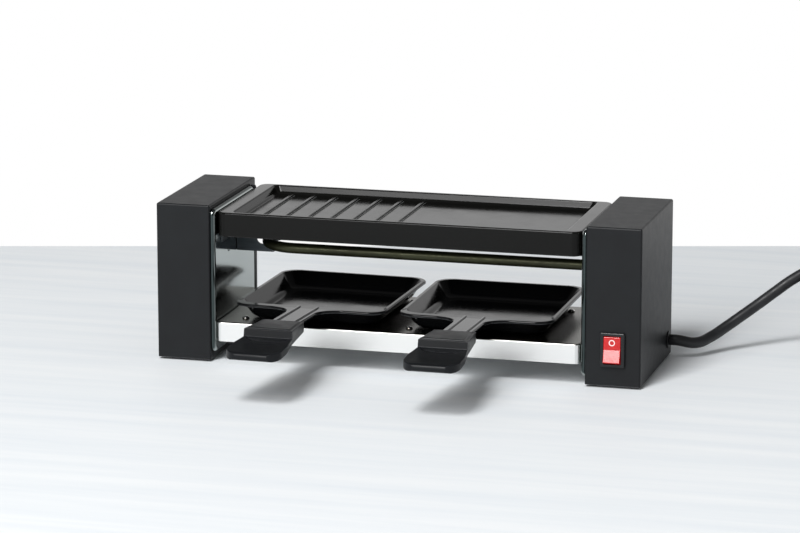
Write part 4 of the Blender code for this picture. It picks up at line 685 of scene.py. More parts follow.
class Workpiece:
    """One mesh on the bench, shaped by operators on what is picked by its place or its normal."""

    def __init__(self, name: str) -> None:
        """Take the primitive that was just added.

        Args:
            name: The piece's name.
        """
        self.thing: Object = bpy.context.object
        self.thing.name = name
        self.thing.data.name = name
        bpy.ops.object.transform_apply(location=True, rotation=True, scale=True)

    @staticmethod
    def clear() -> None:
        """Leave edit mode and deselect everything."""
        if bpy.context.object and bpy.context.object.mode != "OBJECT":
            bpy.ops.object.mode_set(mode="OBJECT")
        bpy.ops.object.select_all(action="DESELECT")

    @classmethod
    def block(cls, name: str, low: Place, high: Place) -> Self:
        """Start from a cube that reaches from one corner to the other.

        Args:
            name: The piece's name.
            low: The lowest corner.
            high: The highest corner.

        Returns:
            The workpiece.
        """
        cls.clear()
        size = Vector(high) - Vector(low)
        bpy.ops.mesh.primitive_cube_add(size=1, location=(Vector(low) + Vector(high)) / 2, scale=size)
        return cls(name)

    @classmethod
    def rod(
        cls, name: str, middle: Place, radius: float, length: float, axis: Axis = Axis.Z, sides: int = 40
    ) -> Self:
        """Start from a cylinder.

        Args:
            name: The piece's name.
            middle: Its middle.
            radius: Its radius.
            length: Its length.
            axis: The way it points.
            sides: How many sides it has.

        Returns:
            The workpiece.
        """
        cls.clear()
        bpy.ops.mesh.primitive_cylinder_add(
            vertices=sides, radius=radius, depth=length, location=middle, rotation=axis.value
        )
        return cls(name)

    @classmethod
    def ball(cls, name: str, middle: Place, radii: Place, segments: int = 40, rings: int = 20) -> Self:
        """Start from a sphere drawn out to three radii.

        Args:
            name: The piece's name.
            middle: Its middle.
            radii: Its radius along each axis.
            segments: Faces round it.
            rings: Faces from pole to pole.

        Returns:
            The workpiece.
        """
        cls.clear()
        bpy.ops.mesh.primitive_uv_sphere_add(
            segments=segments, ring_count=rings, radius=1, location=middle, scale=radii
        )
        return cls(name)

    @classmethod
    def turned(
        cls, name: str, foot: Place, axis: Axis, profile: Sequence[tuple[float, float]], sides: int = 48
    ) -> Self:
        """Draw a disc out step by step along an axis, as a turned piece.

        Args:
            name: The piece's name.
            foot: Where the axis starts.
            axis: The way it points.
            profile: Distance along the axis and radius of each step.
            sides: How many sides it has.

        Returns:
            The workpiece.
        """
        cls.clear()
        start, radius = profile[0]
        bpy.ops.mesh.primitive_circle_add(
            vertices=sides, radius=radius, fill_type="NGON", location=(0, 0, start)
        )
        piece = cls(name).everything()
        for (before, old), (after, new) in zip(profile, profile[1:]):
            piece.extrude((0, 0, after - before)).stretch((new / old, new / old, 1), (0, 0, after))
        piece.outward()
        turn = Matrix.Rotation(axis.value[1], 4, "Y") @ Matrix.Rotation(axis.value[0], 4, "X")
        return piece.placed(Matrix.Translation(foot) @ turn)

    def edit(self) -> None:
        """Open the mesh in edit mode, with nothing else on the bench."""
        if bpy.context.object is self.thing and self.thing.mode == "EDIT":
            return
        self.rest()
        bpy.ops.object.mode_set(mode="EDIT")

    def rest(self) -> None:
        """Close the mesh and leave it alone selected."""
        self.clear()
        bpy.context.view_layer.objects.active = self.thing
        self.thing.select_set(True)

    def pick(self, kind: Pick, test: Test, open_only: bool = False) -> Self:
        """Select the faces, edges or points that pass a test.

        Args:
            kind: What to select.
            test: Takes the middle and the normal of a face, the middle and the way of an edge, or the place
                and the normal of a point.
            open_only: Whether only the open edges count.

        Returns:
            The workpiece.

        Raises:
            ValueError: Nothing passes the test.
        """
        self.edit()
        bpy.ops.mesh.select_mode(type=kind.value)
        bpy.ops.mesh.select_all(action="DESELECT")
        sheet = bmesh.from_edit_mesh(self.thing.data)
        if kind is Pick.FACES:
            found = [face for face in sheet.faces if test(face.calc_center_median(), face.normal)]
        elif kind is Pick.POINTS:
            found = [point for point in sheet.verts if test(point.co, point.normal)]
        else:
            found = []
            for edge in sheet.edges:
                first, second = (point.co for point in edge.verts)
                counts = edge.is_boundary or not open_only
                if counts and test((first + second) / 2, (second - first).normalized()):
                    found.append(edge)
        if not found:
            raise ValueError(f"{self.thing.name}: nothing to pick")
        for item in found:
            item.select_set(True)
        sheet.select_flush_mode()
        bmesh.update_edit_mesh(self.thing.data)
        return self

    def pick_rim(self, test: Test) -> Self:
        """Select the open edges that pass a test."""
        return self.pick(Pick.EDGES, test, open_only=True)

    def round_along(self, axis: Axis, width: float, segments: int) -> Self:
        """Round the edges that run along an axis."""
        return self.pick(Pick.EDGES, lambda place, way: abs(axis.of(way)) > ALONG).bevel(width, segments)

    def round_at(self, axis: Axis, height: float, width: float, segments: int) -> Self:
        """Round the edges that lie at one height of an axis."""
        return self.pick(Pick.EDGES, lambda place, way: level(axis.of(place), height)).bevel(width, segments)

    def everything(self) -> Self:
        """Select all of the mesh.

        Returns:
            The workpiece.
        """
        self.edit()
        bpy.ops.mesh.select_all(action="SELECT")
        return self

    def bevel(self, width: float, segments: int = 3) -> Self:
        """Round the picked edges."""
        bpy.ops.mesh.bevel(offset=width, segments=segments, profile=0.5, affect="EDGES")
        return self

    def inset(self, width: float, depth: float = 0.0) -> Self:
        """Draw the picked faces in from their outline."""
        bpy.ops.mesh.inset(thickness=width, depth=depth, use_even_offset=True)
        return self

    def extrude(self, way: Place) -> Self:
        """Draw the picked faces or edges out."""
        bpy.ops.mesh.extrude_region_move(TRANSFORM_OT_translate={"value": tuple(way)})
        return self

    def slide(self, way: Place) -> Self:
        """Move what is picked."""
        bpy.ops.transform.translate(value=tuple(way))
        return self

    def stretch(self, factors: Place, middle: Place) -> Self:
        """Scale what is picked."""
        bpy.ops.transform.resize(value=tuple(factors), center_override=tuple(middle))
        return self

    def score(self, point: Place, normal: Place) -> Self:
        """Cut edges along a plane and keep both sides.

        Args:
            point: A point of the plane.
            normal: The plane's normal.

        Returns:
            The workpiece.
        """
        self.everything()
        bpy.ops.mesh.bisect(plane_co=tuple(point), plane_no=tuple(normal), threshold=NEAR / 10)
        return self

    def delete(self, kind: Pick) -> Self:
        """Delete what is picked."""
        bpy.ops.mesh.delete(type=kind.value)
        return self

    def spin(self, middle: Place, axis: Place, angle: float, steps: int) -> Self:
        """Draw what is picked out round an axis."""
        bpy.ops.mesh.spin(steps=steps, angle=angle, center=tuple(middle), axis=tuple(axis))
        return self

    def outward(self) -> Self:
        """Merge doubles and turn all faces outwards.

        Returns:
            The workpiece.
        """
        self.everything()
        bpy.ops.mesh.remove_doubles(threshold=NEAR / 5)
        bpy.ops.mesh.normals_make_consistent(inside=False)
        return self

    def placed(self, matrix: Matrix) -> Self:
        """Move the whole piece by a matrix and keep its object at the origin.

        Args:
            matrix: Where the piece goes.

        Returns:
            The workpiece.
        """
        self.rest()
        self.thing.matrix_world = matrix
        bpy.ops.object.transform_apply(location=True, rotation=True, scale=True)
        return self

    def copy(self, name: str) -> "Workpiece":
        """Copy the piece with its own mesh.

        Args:
            name: The copy's name.

        Returns:
            The copy.
        """
        self.rest()
        bpy.ops.object.duplicate(linked=False)
        return Workpiece(name)

    def apply(self, kind: str, **settings: Any) -> Self:
        """Add a modifier and apply it.

        Args:
            kind: Blender's name for the modifier.
            **settings: The modifier's settings.

        Returns:
            The workpiece.
        """
        self.rest()
        added = self.thing.modifiers.new(kind.lower(), kind)
        for name, value in settings.items():
            setattr(added, name, value)
        bpy.ops.object.modifier_apply(modifier=added.name)
        return self

    def carve(self, other: Self, how: Carve = Carve.CUT) -> Self:
        """Cut, keep or weld another shape, which is used up.

        Args:
            other: The other shape.
            how: What it does.

        Returns:
            The workpiece.
        """
        self.apply("BOOLEAN", object=other.thing, operation=how.value, solver="EXACT")
        bpy.data.objects.remove(other.thing, do_unlink=True)
        return self

    def join(self, *others: Self) -> Self:
        """Take other shapes into this piece as they are.

        Args:
            *others: The shapes, which are used up.

        Returns:
            The workpiece.
        """
        self.rest()
        for other in others:
            other.thing.select_set(True)
        bpy.ops.object.join()
        return self

    def soften(self, width: float, segments: int, angle: float, miter: str = "MITER_ARC") -> Self:
        """Round every edge that is sharper than an angle.

        Args:
            width: The width of the rounding.
            segments: How many faces it has.
            angle: The angle in degrees.
            miter: Blender's name for how the outer corners are closed.

        Returns:
            The workpiece.
        """
        return self.apply(
            "BEVEL",
            width=width,
            segments=segments,
            limit_method="ANGLE",
            angle_limit=math.radians(angle),
            use_clamp_overlap=True,
            miter_outer=miter,
        )

    def dress(
        self, material: Material, slot: str, body: str, *nodes: str, smooth: float = 40
    ) -> Object:
        """Shade the piece, give it its finish and set it on its body.

        Args:
            material: The finish.
            slot: The record's material slot, which is not used.
            body: The body that it rides on.
            *nodes: The nodes that it stands for.
            smooth: Edges sharper than this, in degrees, stay crisp.

        Returns:
            The finished object.
        """
        self.rest()
        bpy.ops.object.shade_smooth_by_angle(angle=math.radians(smooth))
        self.apply("WEIGHTED_NORMAL", weight=60, keep_sharp=True)
        paint(self.thing, material)
        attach(self.thing, body)
        if nodes:
            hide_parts(*nodes)
        self.clear()
        return self.thing


@dataclass
class Housing:
    """One upright housing: its moulded case and the steel cover on its inner side."""

    side: Side
    finishes: Finishes
    wall: float = 0.0016
    edge_round: float = 0.0012
    window_margin: float = 0.006
    boss: tuple[float, float, float] = (0.008, 0.007, 0.0085)
    switch_hole: tuple[float, float] = (0.0138, 0.0200)
    switch_height: float = 0.0238
    cord_hole_radius: float = 0.0049
    cord_back_inset: float = 0.0105
    cord_height: float = 0.0117
    cover_sheet: float = 0.0008
    cover_corner: float = 0.004
    cover_screw: tuple[float, float] = (0.0275, 0.0591)
    cover_edge: float = 0.0022
    lip_depth: float = 0.0045
    bushing_hole: float = 0.0049
    pilot_radius: float = 0.0018
    screw_head: tuple[float, float, float] = (0.0007, 0.0012, 0.0012)
    crisp: float = 0.00018

    def build(self) -> list[Object]:
        """Build the case and its cover."""
        return [self.case(), self.cover()]

    def case(self) -> Object:
        """Model the moulded case with its window, bosses and holes.

        Returns:
            The case.
        """
        word = self.side.word
        low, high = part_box(f"{word}_housing_shell")
        case = Workpiece.block(f"{word}_case", low, high)
        case.pick(Pick.EDGES, lambda place, way: place.z > low.z + NEAR).bevel(self.edge_round, 5)
        wall = Vector((self.wall, self.wall, self.wall))
        inner_low = low + wall
        inner_low.z = low.z - self.wall
        hollow = Workpiece.block("hollow", inner_low, high - wall)
        hollow.pick(Pick.EDGES, lambda place, way: place.z > low.z).bevel(self.wall / 3, 2)
        case.carve(hollow).carve(self.window(low, high))
        case.join(self.lip(), *self.bosses(low, high))
        if self.side is Side.RIGHT:
            width, height = self.switch_hole
            middle_x = (low.x + high.x) / 2
            corner = (middle_x - width / 2, low.y - self.wall, self.switch_height - height / 2)
            opposite = (middle_x + width / 2, low.y + 2 * self.wall, self.switch_height + height / 2)
            case.carve(Workpiece.block("switch_hole", corner, opposite))
            place = (high.x, high.y - self.cord_back_inset, self.cord_height)
            case.carve(Workpiece.rod("cord_hole", place, self.cord_hole_radius, 4 * self.wall, Axis.X))
        case.soften(self.crisp, 2, 50)
        return case.dress(self.finishes.case, "housing_plastic", "grill", f"{word}_housing_shell")

    def window(self, low: Vector, high: Vector) -> Workpiece:
        """Make the cutter of the opening behind the cover.

        Args:
            low: The case's lowest corner.
            high: The case's highest corner.

        Returns:
            The cutter.
        """
        cover_low, cover_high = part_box(f"{self.side.word}_side_panel")
        inner_x, margin = self.side.inner(low, high), self.window_margin
        cutter = Workpiece.block(
            "window",
            (inner_x - 2 * self.wall, cover_low.y + margin, cover_low.z + margin),
            (inner_x + 2 * self.wall, cover_high.y - margin, cover_high.z - margin),
        )
        return cutter.round_along(Axis.X, margin / 3, 4)

    def lip(self) -> Workpiece:
        """Mould the lip that closes the cover's back edge.

        Returns:
            The lip.
        """
        low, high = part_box(f"{self.side.word}_side_panel")
        bay_x = self.side.inner(low, high)
        wall_x = self.side.outer(low, high) + self.side.value * (FIT + self.wall / 2)
        near_x, far_x = sorted((bay_x, wall_x))
        lip = Workpiece.block("lip", (near_x, high.y - self.lip_depth + FIT, low.z), (far_x, high.y, high.z))
        lip.pick(Pick.EDGES, lambda place, way: abs(way.x) > ALONG and place.y > high.y - NEAR)
        lip.bevel(self.lip_depth * 0.8, 6)
        lip.pick(Pick.EDGES, lambda place, way: level(place.x, bay_x) and abs(way.x) < 0.1)
        return lip.bevel(FIT, 2)

    def bosses(self, low: Vector, high: Vector) -> list[Workpiece]:
        """Make the two blocks that the base's screws bite into.

        Args:
            low: The case's lowest corner.
            high: The case's highest corner.

        Returns:
            The blocks.
        """
        found = []
        width, depth, height = self.boss
        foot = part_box(f"{self.side.word}_base_plate")[1].z + FIT
        for end in ENDS:
            x, y, _ = middle_of(f"{self.side.word}_base_screw_{end}")
            wall_y = low.y + self.wall if end == "front" else high.y - self.wall
            near_y, far_y = sorted((wall_y, y + (depth / 2 if end == "front" else -depth / 2)))
            block = Workpiece.block(
                f"boss_{end}", (x - width / 2, near_y, foot), (x + width / 2, far_y, foot + height)
            )
            block.round_along(Axis.Z, self.wall / 2, 2)
            block.carve(Workpiece.rod("pilot", (x, y, foot), self.pilot_radius, 2 * height, sides=16))
            found.append(block)
        return found

    def cover(self) -> Object:
        """Press the steel cover, open towards the housing.

        Returns:
            The cover.
        """
        node = f"{self.side.word}_side_panel"
        low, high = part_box(node)
        bay_x, back_x = self.side.inner(low, high), self.side.outer(low, high)
        high.y -= self.lip_depth
        cover = Workpiece.block(f"{self.side.word}_steel_cover", low, high)
        cover.round_along(Axis.X, self.cover_corner, 8)
        cover.pick(Pick.EDGES, lambda place, way: level(place.x, bay_x) and abs(way.x) < 0.1)
        cover.bevel(self.cover_edge, 7)
        cover.round_at(Axis.X, back_x, self.cover_sheet / 3, 2)
        depth = abs(back_x - bay_x) - self.cover_sheet
        cover.pick(Pick.FACES, lambda place, way: level(place.x, back_x))
        cover.inset(self.cover_sheet * 2 / 3).extrude((-self.side.value * depth, 0, 0))
        cover.outward()
        screw = Vector((bay_x, low.y + self.cover_screw[0], low.z + self.cover_screw[1]))
        cover.join(Workpiece.ball("screw_head", screw, self.screw_head, 24, 12))
        if self.side is Side.RIGHT:
            for end in ENDS:
                place, length = middle_of(f"heater_bushing_{end}"), 5 * self.cover_sheet
                place.x = bay_x
                cover.carve(Workpiece.rod("bushing_hole", place, self.bushing_hole, length, Axis.X))
        return cover.dress(self.finishes.cover, "cover_steel", "grill", node)


@dataclass
class GrillPlate:
    """The loose cast plate on top, with its well, ribs and skirt."""

    finishes: Finishes
    corner: float = 0.006
    edge_round: float = 0.0011
    wall: float = 0.0026
    floor: float = 0.003
    well_depth: float = 0.0048
    end_rim: float = 0.0098
    side_rim: float = 0.0028
    draft: float = 0.0024
    well_edge: float = 0.0009
    well_fillet: float = 0.0016
    rib_first: float = 0.005
    rib_pitch: float = 0.0142
    rib_count: int = 7
    rib_width: float = 0.0022
    rib_height: float = 0.0012
    rib_end_gap: float = 0.004

    def build(self) -> list[Object]:
        """Cast the plate and its ribs.

        Returns:
            The plate.
        """
        low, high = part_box("grill_plate")
        middle = (low + high) / 2
        plate = Workpiece.block("cast_grill_plate", low, high)
        plate.round_along(Axis.Z, self.corner, 8)
        plate.round_at(Axis.Z, high.z, self.edge_round, 4)
        plate.round_at(Axis.Z, low.z, self.edge_round / 2, 3)
        half_x, half_y = (high.x - low.x) / 2, (high.y - low.y) / 2
        plate.pick(Pick.FACES, lambda place, way: level(place.z, high.z) and way.z > ALONG)
        plate.inset(self.side_rim - self.edge_round)
        share = (half_x - self.end_rim) / (half_x - self.side_rim)
        plate.stretch((share, 1, 1), middle)
        well_x, well_y = half_x - self.end_rim, half_y - self.side_rim
        plate.extrude((0, 0, -self.well_depth))
        plate.stretch(((well_x - self.draft) / well_x, (well_y - self.draft) / well_y, 1), middle)
        plate.pick(Pick.EDGES, self.on_well_rim(low, high)).bevel(self.well_edge, 4)
        floor_z = high.z - self.well_depth
        plate.round_at(Axis.Z, floor_z, self.well_fillet, 5)
        plate.pick(Pick.FACES, lambda place, way: level(place.z, low.z) and way.z < -ALONG)
        plate.inset(self.wall - self.edge_round / 2)
        plate.extrude((0, 0, high.z - low.z - self.well_depth - self.floor))
        plate.outward()
        plate.join(*self.ribs(middle, floor_z, half_y))
        return [plate.dress(self.finishes.plate, "plate_coating", "loose_plate", "grill_plate", smooth=50)]

    def on_well_rim(self, low: Vector, high: Vector) -> Test:
        """Tell the edges where the flat rim meets the well.

        Args:
            low: The plate's lowest corner.
            high: The plate's highest corner.

        Returns:
            The test of an edge.
        """

        def test(place: Vector, way: Vector) -> bool:
            """Test one edge.

            Args:
                place: The middle of the edge.
                way: The way of the edge.

            Returns:
                True on the well's rim.
            """
            end, reach = self.end_rim - 10 * CLOSE, self.side_rim - NEAR * 5
            inside = low.x + end < place.x < high.x - end and low.y + reach < place.y < high.y - reach
            return inside and level(place.z, high.z) and abs(way.z) < 0.5

        return test

    def ribs(self, middle: Vector, floor_z: float, half_y: float) -> list[Workpiece]:
        """Make one rib and its copies.

        Args:
            middle: The plate's middle.
            floor_z: The height of the well's floor.
            half_y: Half the plate's depth.

        Returns:
            The ribs.
        """
        reach = half_y - self.side_rim - self.draft - self.rib_end_gap
        x, half = -self.rib_first, self.rib_width / 2
        rib = Workpiece.block(
            "plate_rib",
            (x - half, middle.y - reach, floor_z - self.rib_height),
            (x + half, middle.y + reach, floor_z + self.rib_height),
        )
        rib.round_along(Axis.Z, half * 0.95, 5)
        top = floor_z + self.rib_height
        rib.round_at(Axis.Z, top, self.rib_height * 0.42, 3)
        found = [rib]
        for i in range(1, self.rib_count):
            step = Matrix.Translation((-self.rib_pitch * i, 0, 0))
            found.append(rib.copy(f"plate_rib_{i}").placed(step))
        return found


@dataclass
class Heater:
    """The hairpin tube, the bracket round its bend and the bushings at its legs."""

    finishes: Finishes
    radius: float = 0.00325
    spread: float = 0.046
    bracket_sheet: float = 0.0012
    bracket_slot: float = 0.0115
    bracket_drop: float = 0.0012
    bracket_tip: float = 0.003
    foot_corner: float = 0.002
    crisp: float = 0.0002
    rivet_place: tuple[float, float] = (0.0075, 0.0042)
    rivet_radii: tuple[float, float, float] = (0.0013, 0.0007, 0.0013)
    flange: float = 0.0066
    flange_thick: float = 0.0012
    chamfer: float = 0.0003
    neck: float = 0.0046

    def build(self) -> list[Object]:
        """Bend the tube and fold its bracket."""
        return [self.tube(), self.bracket(), *self.bushings()]

    def tube(self) -> Object:
        """Draw the tube out along its leg, round the bend and back.

        Returns:
            The tube.
        """
        low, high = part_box("heating_element")
        bend = self.spread / 2
        bend_x = low.x + self.radius + bend
        _, middle_y, z = middle_of("heating_element")
        Workpiece.clear()
        bpy.ops.mesh.primitive_circle_add(
            vertices=28,
            radius=self.radius,
            fill_type="NGON",
            location=(high.x, middle_y - bend, z),
            rotation=Axis.X.value,
        )
        tube = Workpiece("heater_tube")
        tube.everything().extrude((bend_x - high.x, 0, 0))
        tube.spin((bend_x, middle_y, z), (0, 0, 1), math.pi, 32)
        tube.extrude((high.x - bend_x, 0, 0))
        tube.outward()
        return tube.dress(self.finishes.heater, "heater_steel", "grill", "heating_element", smooth=60)

    def bracket(self) -> Object:
        """Fold the strip from the left cover, with its slot and its foot.

        Returns:
            The bracket.
        """
        low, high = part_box("heater_bracket")
        y = low.y + self.bracket_sheet / 2
        z = middle_of("heating_element").z
        top = high.z - self.bracket_drop
        strip = Workpiece.block("heater_bracket_strip", low, (high.x, low.y + self.bracket_sheet, top))
        tip = high.x - NEAR
        strip.pick(Pick.EDGES, lambda place, way: place.x > tip and abs(way.y) > ALONG)
        strip.bevel(self.bracket_tip, 5)
        foot = Workpiece.block("foot", low, (low.x + self.bracket_sheet, high.y, top))
        foot.pick(Pick.EDGES, lambda place, way: level(place.y, high.y) and abs(way.x) > ALONG)
        foot.bevel(self.foot_corner, 4)
        strip.carve(foot, Carve.WELD)
        radius, through = self.radius + FIT, 2 * OVERRUN
        slot_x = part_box("heating_element")[0].x + self.radius
        slot_left = slot_x + radius - self.bracket_slot
        corner, opposite = (slot_left, y - through, z - radius), (slot_x + radius, y + through, z + radius)
        slot = Workpiece.block("slot", corner, opposite)
        slot.round_along(Axis.Y, radius * 0.99, 8)
        strip.carve(slot)
        strip.soften(self.crisp, 2, 50)
        place = (low.x + self.rivet_place[0], low.y, z + self.rivet_place[1])
        strip.join(Workpiece.ball("rivet", place, self.rivet_radii, 20, 10))
        return strip.dress(self.finishes.bracket, "bracket_steel", "grill", "heater_bracket")

    def bushings(self) -> list[Object]:
        """Turn the two bushings that carry the legs through the right cover.

        Returns:
            The bushings.
        """
        found = []
        for end in ENDS:
            node = f"heater_bushing_{end}"
            low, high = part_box(node)
            foot, length = (low.x, (low.y + high.y) / 2, (low.z + high.z) / 2), high.x - low.x
            profile = [
                (0.0, self.flange - self.chamfer),
                (self.chamfer, self.flange),
                (self.flange_thick - self.chamfer, self.flange),
                (self.flange_thick, self.flange - self.chamfer),
                (self.flange_thick + NEAR, self.neck),
                (length, self.neck),
            ]
            bushing = Workpiece.turned(f"heater_bushing_ring_{end}", foot, Axis.X, profile)
            bushing.carve(Workpiece.rod("bore", foot, self.radius + FIT, 4 * length, Axis.X))
            found.append(bushing.dress(self.finishes.bushing, "bushing_steel", "grill", node))
        return found


@dataclass
class Tray:
    """The folded bright tray that the pans stand on."""

    finishes: Finishes
    sheet: float = 0.0008
    corner: float = 0.003
    edge_round: float = 0.001
    dimple_radius: float = 0.0022
    dimple_height: float = 0.0015
    apron: float = 0.0122
    dimple_insets: tuple[float, float] = (0.014, 0.0105)
    dimple_reaches: tuple[float, float] = (0.043902, 0.042588)

    def build(self) -> list[Object]:
        """Fold the tray and press its dimples.

        Returns:
            The tray.
        """
        low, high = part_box("bottom_tray")
        top = high.z - self.dimple_height
        low.z = top - self.apron
        tray = Workpiece.block("folded_tray", low, (high.x, high.y, top))
        tray.round_along(Axis.Z, self.corner, 6)
        tray.round_at(Axis.Z, top, self.edge_round, 6)
        tray.pick(Pick.FACES, lambda place, way: level(place.z, low.z))
        tray.inset(self.sheet).extrude((0, 0, self.apron - self.sheet))
        inside = (high.x - low.x) / 2 - self.sheet * 1.1
        tray.pick(Pick.EDGES, lambda place, way: level(place.z, top - self.sheet) and abs(place.x) < inside)
        tray.bevel(self.edge_round - self.sheet, 3)
        tray.outward()
        tray.join(*[self.dimple(place, top) for place in self.dimple_places()])
        return [tray.dress(self.finishes.tray, "tray_steel", "grill", "bottom_tray", smooth=50)]

    def dimple_places(self) -> list[tuple[float, float]]:
        """Give the dimples' places in X and Y, beside each pan's floor.

        Returns:
            The places.
        """
        low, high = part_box("left_housing_shell")
        front, back = low.y + self.dimple_insets[0], high.y - self.dimple_insets[1]
        found = []
        for place, reach in zip((LEFT_PAN_PLACE, RIGHT_PAN_PLACE), self.dimple_reaches):
            found += [(place[0] - reach, front), (place[0] + reach, back)]
        return found

    def dimple(self, place: tuple[float, float], top: float) -> Workpiece:
        """Press one dimple.

        Args:
            place: Its place in X and Y.
            top: The height of the tray.

        Returns:
            The raised cap.
        """
        radii = (self.dimple_radius, self.dimple_radius, self.dimple_height)
        cap = Workpiece.ball("dimple", (*place, top), radii, 28, 14)
        cap.pick(Pick.FACES, lambda middle, way: middle.z < top - self.sheet).delete(Pick.FACES)
        return cap


LEFT_PAN_PLACE = (-0.0549, 0.054526, 0.0259)
RIGHT_PAN_PLACE = (0.0476, 0.055726, 0.0259)
LEFT_PAN_TURN = math.radians(-1.6)
RIGHT_PAN_TURN = math.radians(0.1)


@dataclass
class Pan:
    """One pressed pan with its rolled rim and neck, and its moulded handle."""

    side: Side
    finishes: Finishes
    width: float = 0.096
    depth: float = 0.1004
    height: float = 0.0111
    sheet: float = 0.001
    corner: float = 0.013
    rim: float = 0.0025
    front_lip: float = 0.0055
    lip_drop: float = 0.0026
    draft: float = 0.0085
    floor_fillet: float = 0.0032
    rim_edge: float = 0.0009
    pan_crisp: float = 0.00022
    neck_half: float = 0.009
    fillet: float = 0.013
    slope: float = math.radians(1.7)
    setback: float = 0.0012
    visible: float = 0.0452
    in_handle: float = 0.0215
    rib_offset: float = 0.0058
    rib_width: float = 0.0016
    rib_height: float = 0.0007
    rib_edge: float = 0.00045
    sleeve: float = 0.029
    paddle: float = 0.0343
    top: float = 0.0012
    step: float = 0.0046
    sleeve_depth: float = 0.0062
    thickness: float = 0.0048
    fall: float = 0.0028
    step_body: float = 0.0012
    back_half: float = 0.0128
    step_half: float = 0.015
    paddle_half: float = 0.017
    handle_corner: float = 0.0098
    handle_round: float = 0.0013
    handle_crisp: float = 0.00035
    pad_inset: float = 0.0021
    pad_height: float = 0.0006
    riser: float = 0.0007
    riser_flare: float = 0.0001
    bend: float = 0.010
    overlap: float = 0.002
    tongue_top: float = -0.0001
    tongue_bottom: float = -0.0007
    tongue_corner: float = 0.003
    rivet_hole: float = 0.0019
    scoop_gap: float = 0.00093
    scoop_lift: float = 0.00023
    scoop_radii: tuple[float, float, float] = (0.0132, 0.0135, 0.00273)

    @property
    def place(self) -> Matrix:
        """Where the pan stands, with its slight turn.

        Returns:
            The frame of the pan.
        """
        left = (LEFT_PAN_PLACE, LEFT_PAN_TURN)
        place, turn = left if self.side is Side.LEFT else (RIGHT_PAN_PLACE, RIGHT_PAN_TURN)
        return Matrix.Translation(place) @ Matrix.Rotation(turn, 4, "Z")

    @property
    def neck_frame(self) -> Matrix:
        """The frame of the neck: its root, sloping up towards the user."""
        root = -self.depth / 2 + self.rim - self.front_lip + self.setback
        return Matrix.Translation((0, root, self.height)) @ Matrix.Rotation(-self.slope, 4, "X")

    def build(self) -> list[Object]:
        """Press the pan and mould its handle.

        Returns:
            The pan and its handle.
        """
        word = self.side.word
        body = f"loose_{word}_pan"
        pan = self.bowl(f"{word}_pressed_pan").join(*self.neck_ribs(), self.tongue()).placed(self.place)
        handle = self.handle(f"{word}_moulded_handle").placed(self.place)
        return [
            pan.dress(self.finishes.pan, "pan_coating", body, f"{word}_pan", smooth=50),
            handle.dress(self.finishes.handle, "handle_plastic", body, f"{word}_pan_handle", smooth=45),
        ]

    def bowl(self, name: str) -> Workpiece:
        """Press the bowl, draw out its rim and neck, and turn their edges down.

        Args:
            name: The piece's name.

        Returns:
            The pan without its ribs.
        """
        half_x, half_y = self.width / 2 - self.rim, self.depth / 2 - self.rim
        floor_x, floor_y = self.width / 2 - self.draft, self.depth / 2 - self.draft
        pan = Workpiece.block(name, (-half_x, -half_y, self.sheet), (half_x, half_y, self.height))
        pan.round_along(Axis.Z, self.corner - self.rim, 10)
        pan.pick(Pick.POINTS, lambda place, way: level(place.z, self.sheet))
        pan.stretch((floor_x / half_x, floor_y / half_y, 1), (0, 0, 0))
        pan.pick(Pick.FACES, lambda place, way: way.z > ALONG).delete(Pick.FACES)
        pan.round_at(Axis.Z, self.sheet, self.floor_fillet, 5)
        for x in (self.neck_half + self.fillet, self.neck_half):
            for way in (-1, 1):
                pan.score((way * x, 0, 0), (1, 0, 0))
        pan.pick_rim(lambda place, way: True).extrude((0, 0, 0))
        pan.stretch(((half_x + self.rim) / half_x, (half_y + self.rim) / half_y, 1), (0, 0, 0))
        front = -self.depth / 2
        straight = front + self.corner * 1.05
        raised = self.height - NEAR
        pan.pick(Pick.POINTS, lambda at, way: at.y < straight and at.z > raised and self.on_rim(at))
        pan.slide((0, self.rim - self.front_lip, 0))
        self.draw_neck(pan)
        pan.pick_rim(lambda place, way: True).extrude((0, 0, self.sheet - self.lip_drop))
        self.face_up(pan)
        pan.pick(Pick.EDGES, self.on_outer_edge()).bevel(self.rim_edge, 3)
        pan.apply("SOLIDIFY", thickness=self.sheet, offset=-1.0)
        return pan.soften(self.pan_crisp, 2, 50)

    def on_rim(self, place: Vector) -> bool:
        """Tell whether a point lies on the outer line of the rim.

        Args:
            place: The point.

        Returns:
            True on the outer line.
        """
        x, y = abs(place.x), abs(place.y)
        corner_x, corner_y = self.width / 2 - self.corner, self.depth / 2 - self.corner
        if x > corner_x and y > corner_y:
            return math.hypot(x - corner_x, y - corner_y) > self.corner - self.rim * 0.6
        return x > self.width / 2 - self.rim * 0.5 or y > self.depth / 2 - self.rim * 0.5

    def draw_neck(self, pan: Workpiece) -> None:
        """Draw the neck out of the front lip, narrowing along its fillets.

        Args:
            pan: The open sheet so far.
        """
        front = -self.depth / 2 + self.rim - self.front_lip
        reach = self.neck_half + self.fillet
        rise = math.tan(self.slope)
        pan.pick_rim(lambda place, way: level(place.y, front, CLOSE) and abs(place.x) < reach)
        gone, half = 0.0, reach
        for i in range(1, 9):
            turn = math.pi / 2 * i / 8
            ahead = self.fillet * (1 - math.cos(turn))
            narrow = reach - self.fillet * math.sin(turn)
            pan.extrude((0, -(ahead - gone), (ahead - gone) * rise))
            pan.stretch((narrow / half, 1, 1), (0, 0, 0))
            gone, half = ahead, narrow
        end = self.visible - self.setback - FIT
        pan.extrude((0, -(end - gone), (end - gone) * rise))

    @staticmethod
    def face_up(pan: Workpiece) -> None:
        """Turn the sheet's faces so that the floor looks up.

        Args:
            pan: The open sheet.
        """
        pan.outward()
        pan.rest()
        floor = min(pan.thing.data.polygons, key=lambda face: face.center.z)
        if floor.normal.z < 0:
            pan.everything()
            bpy.ops.mesh.flip_normals()

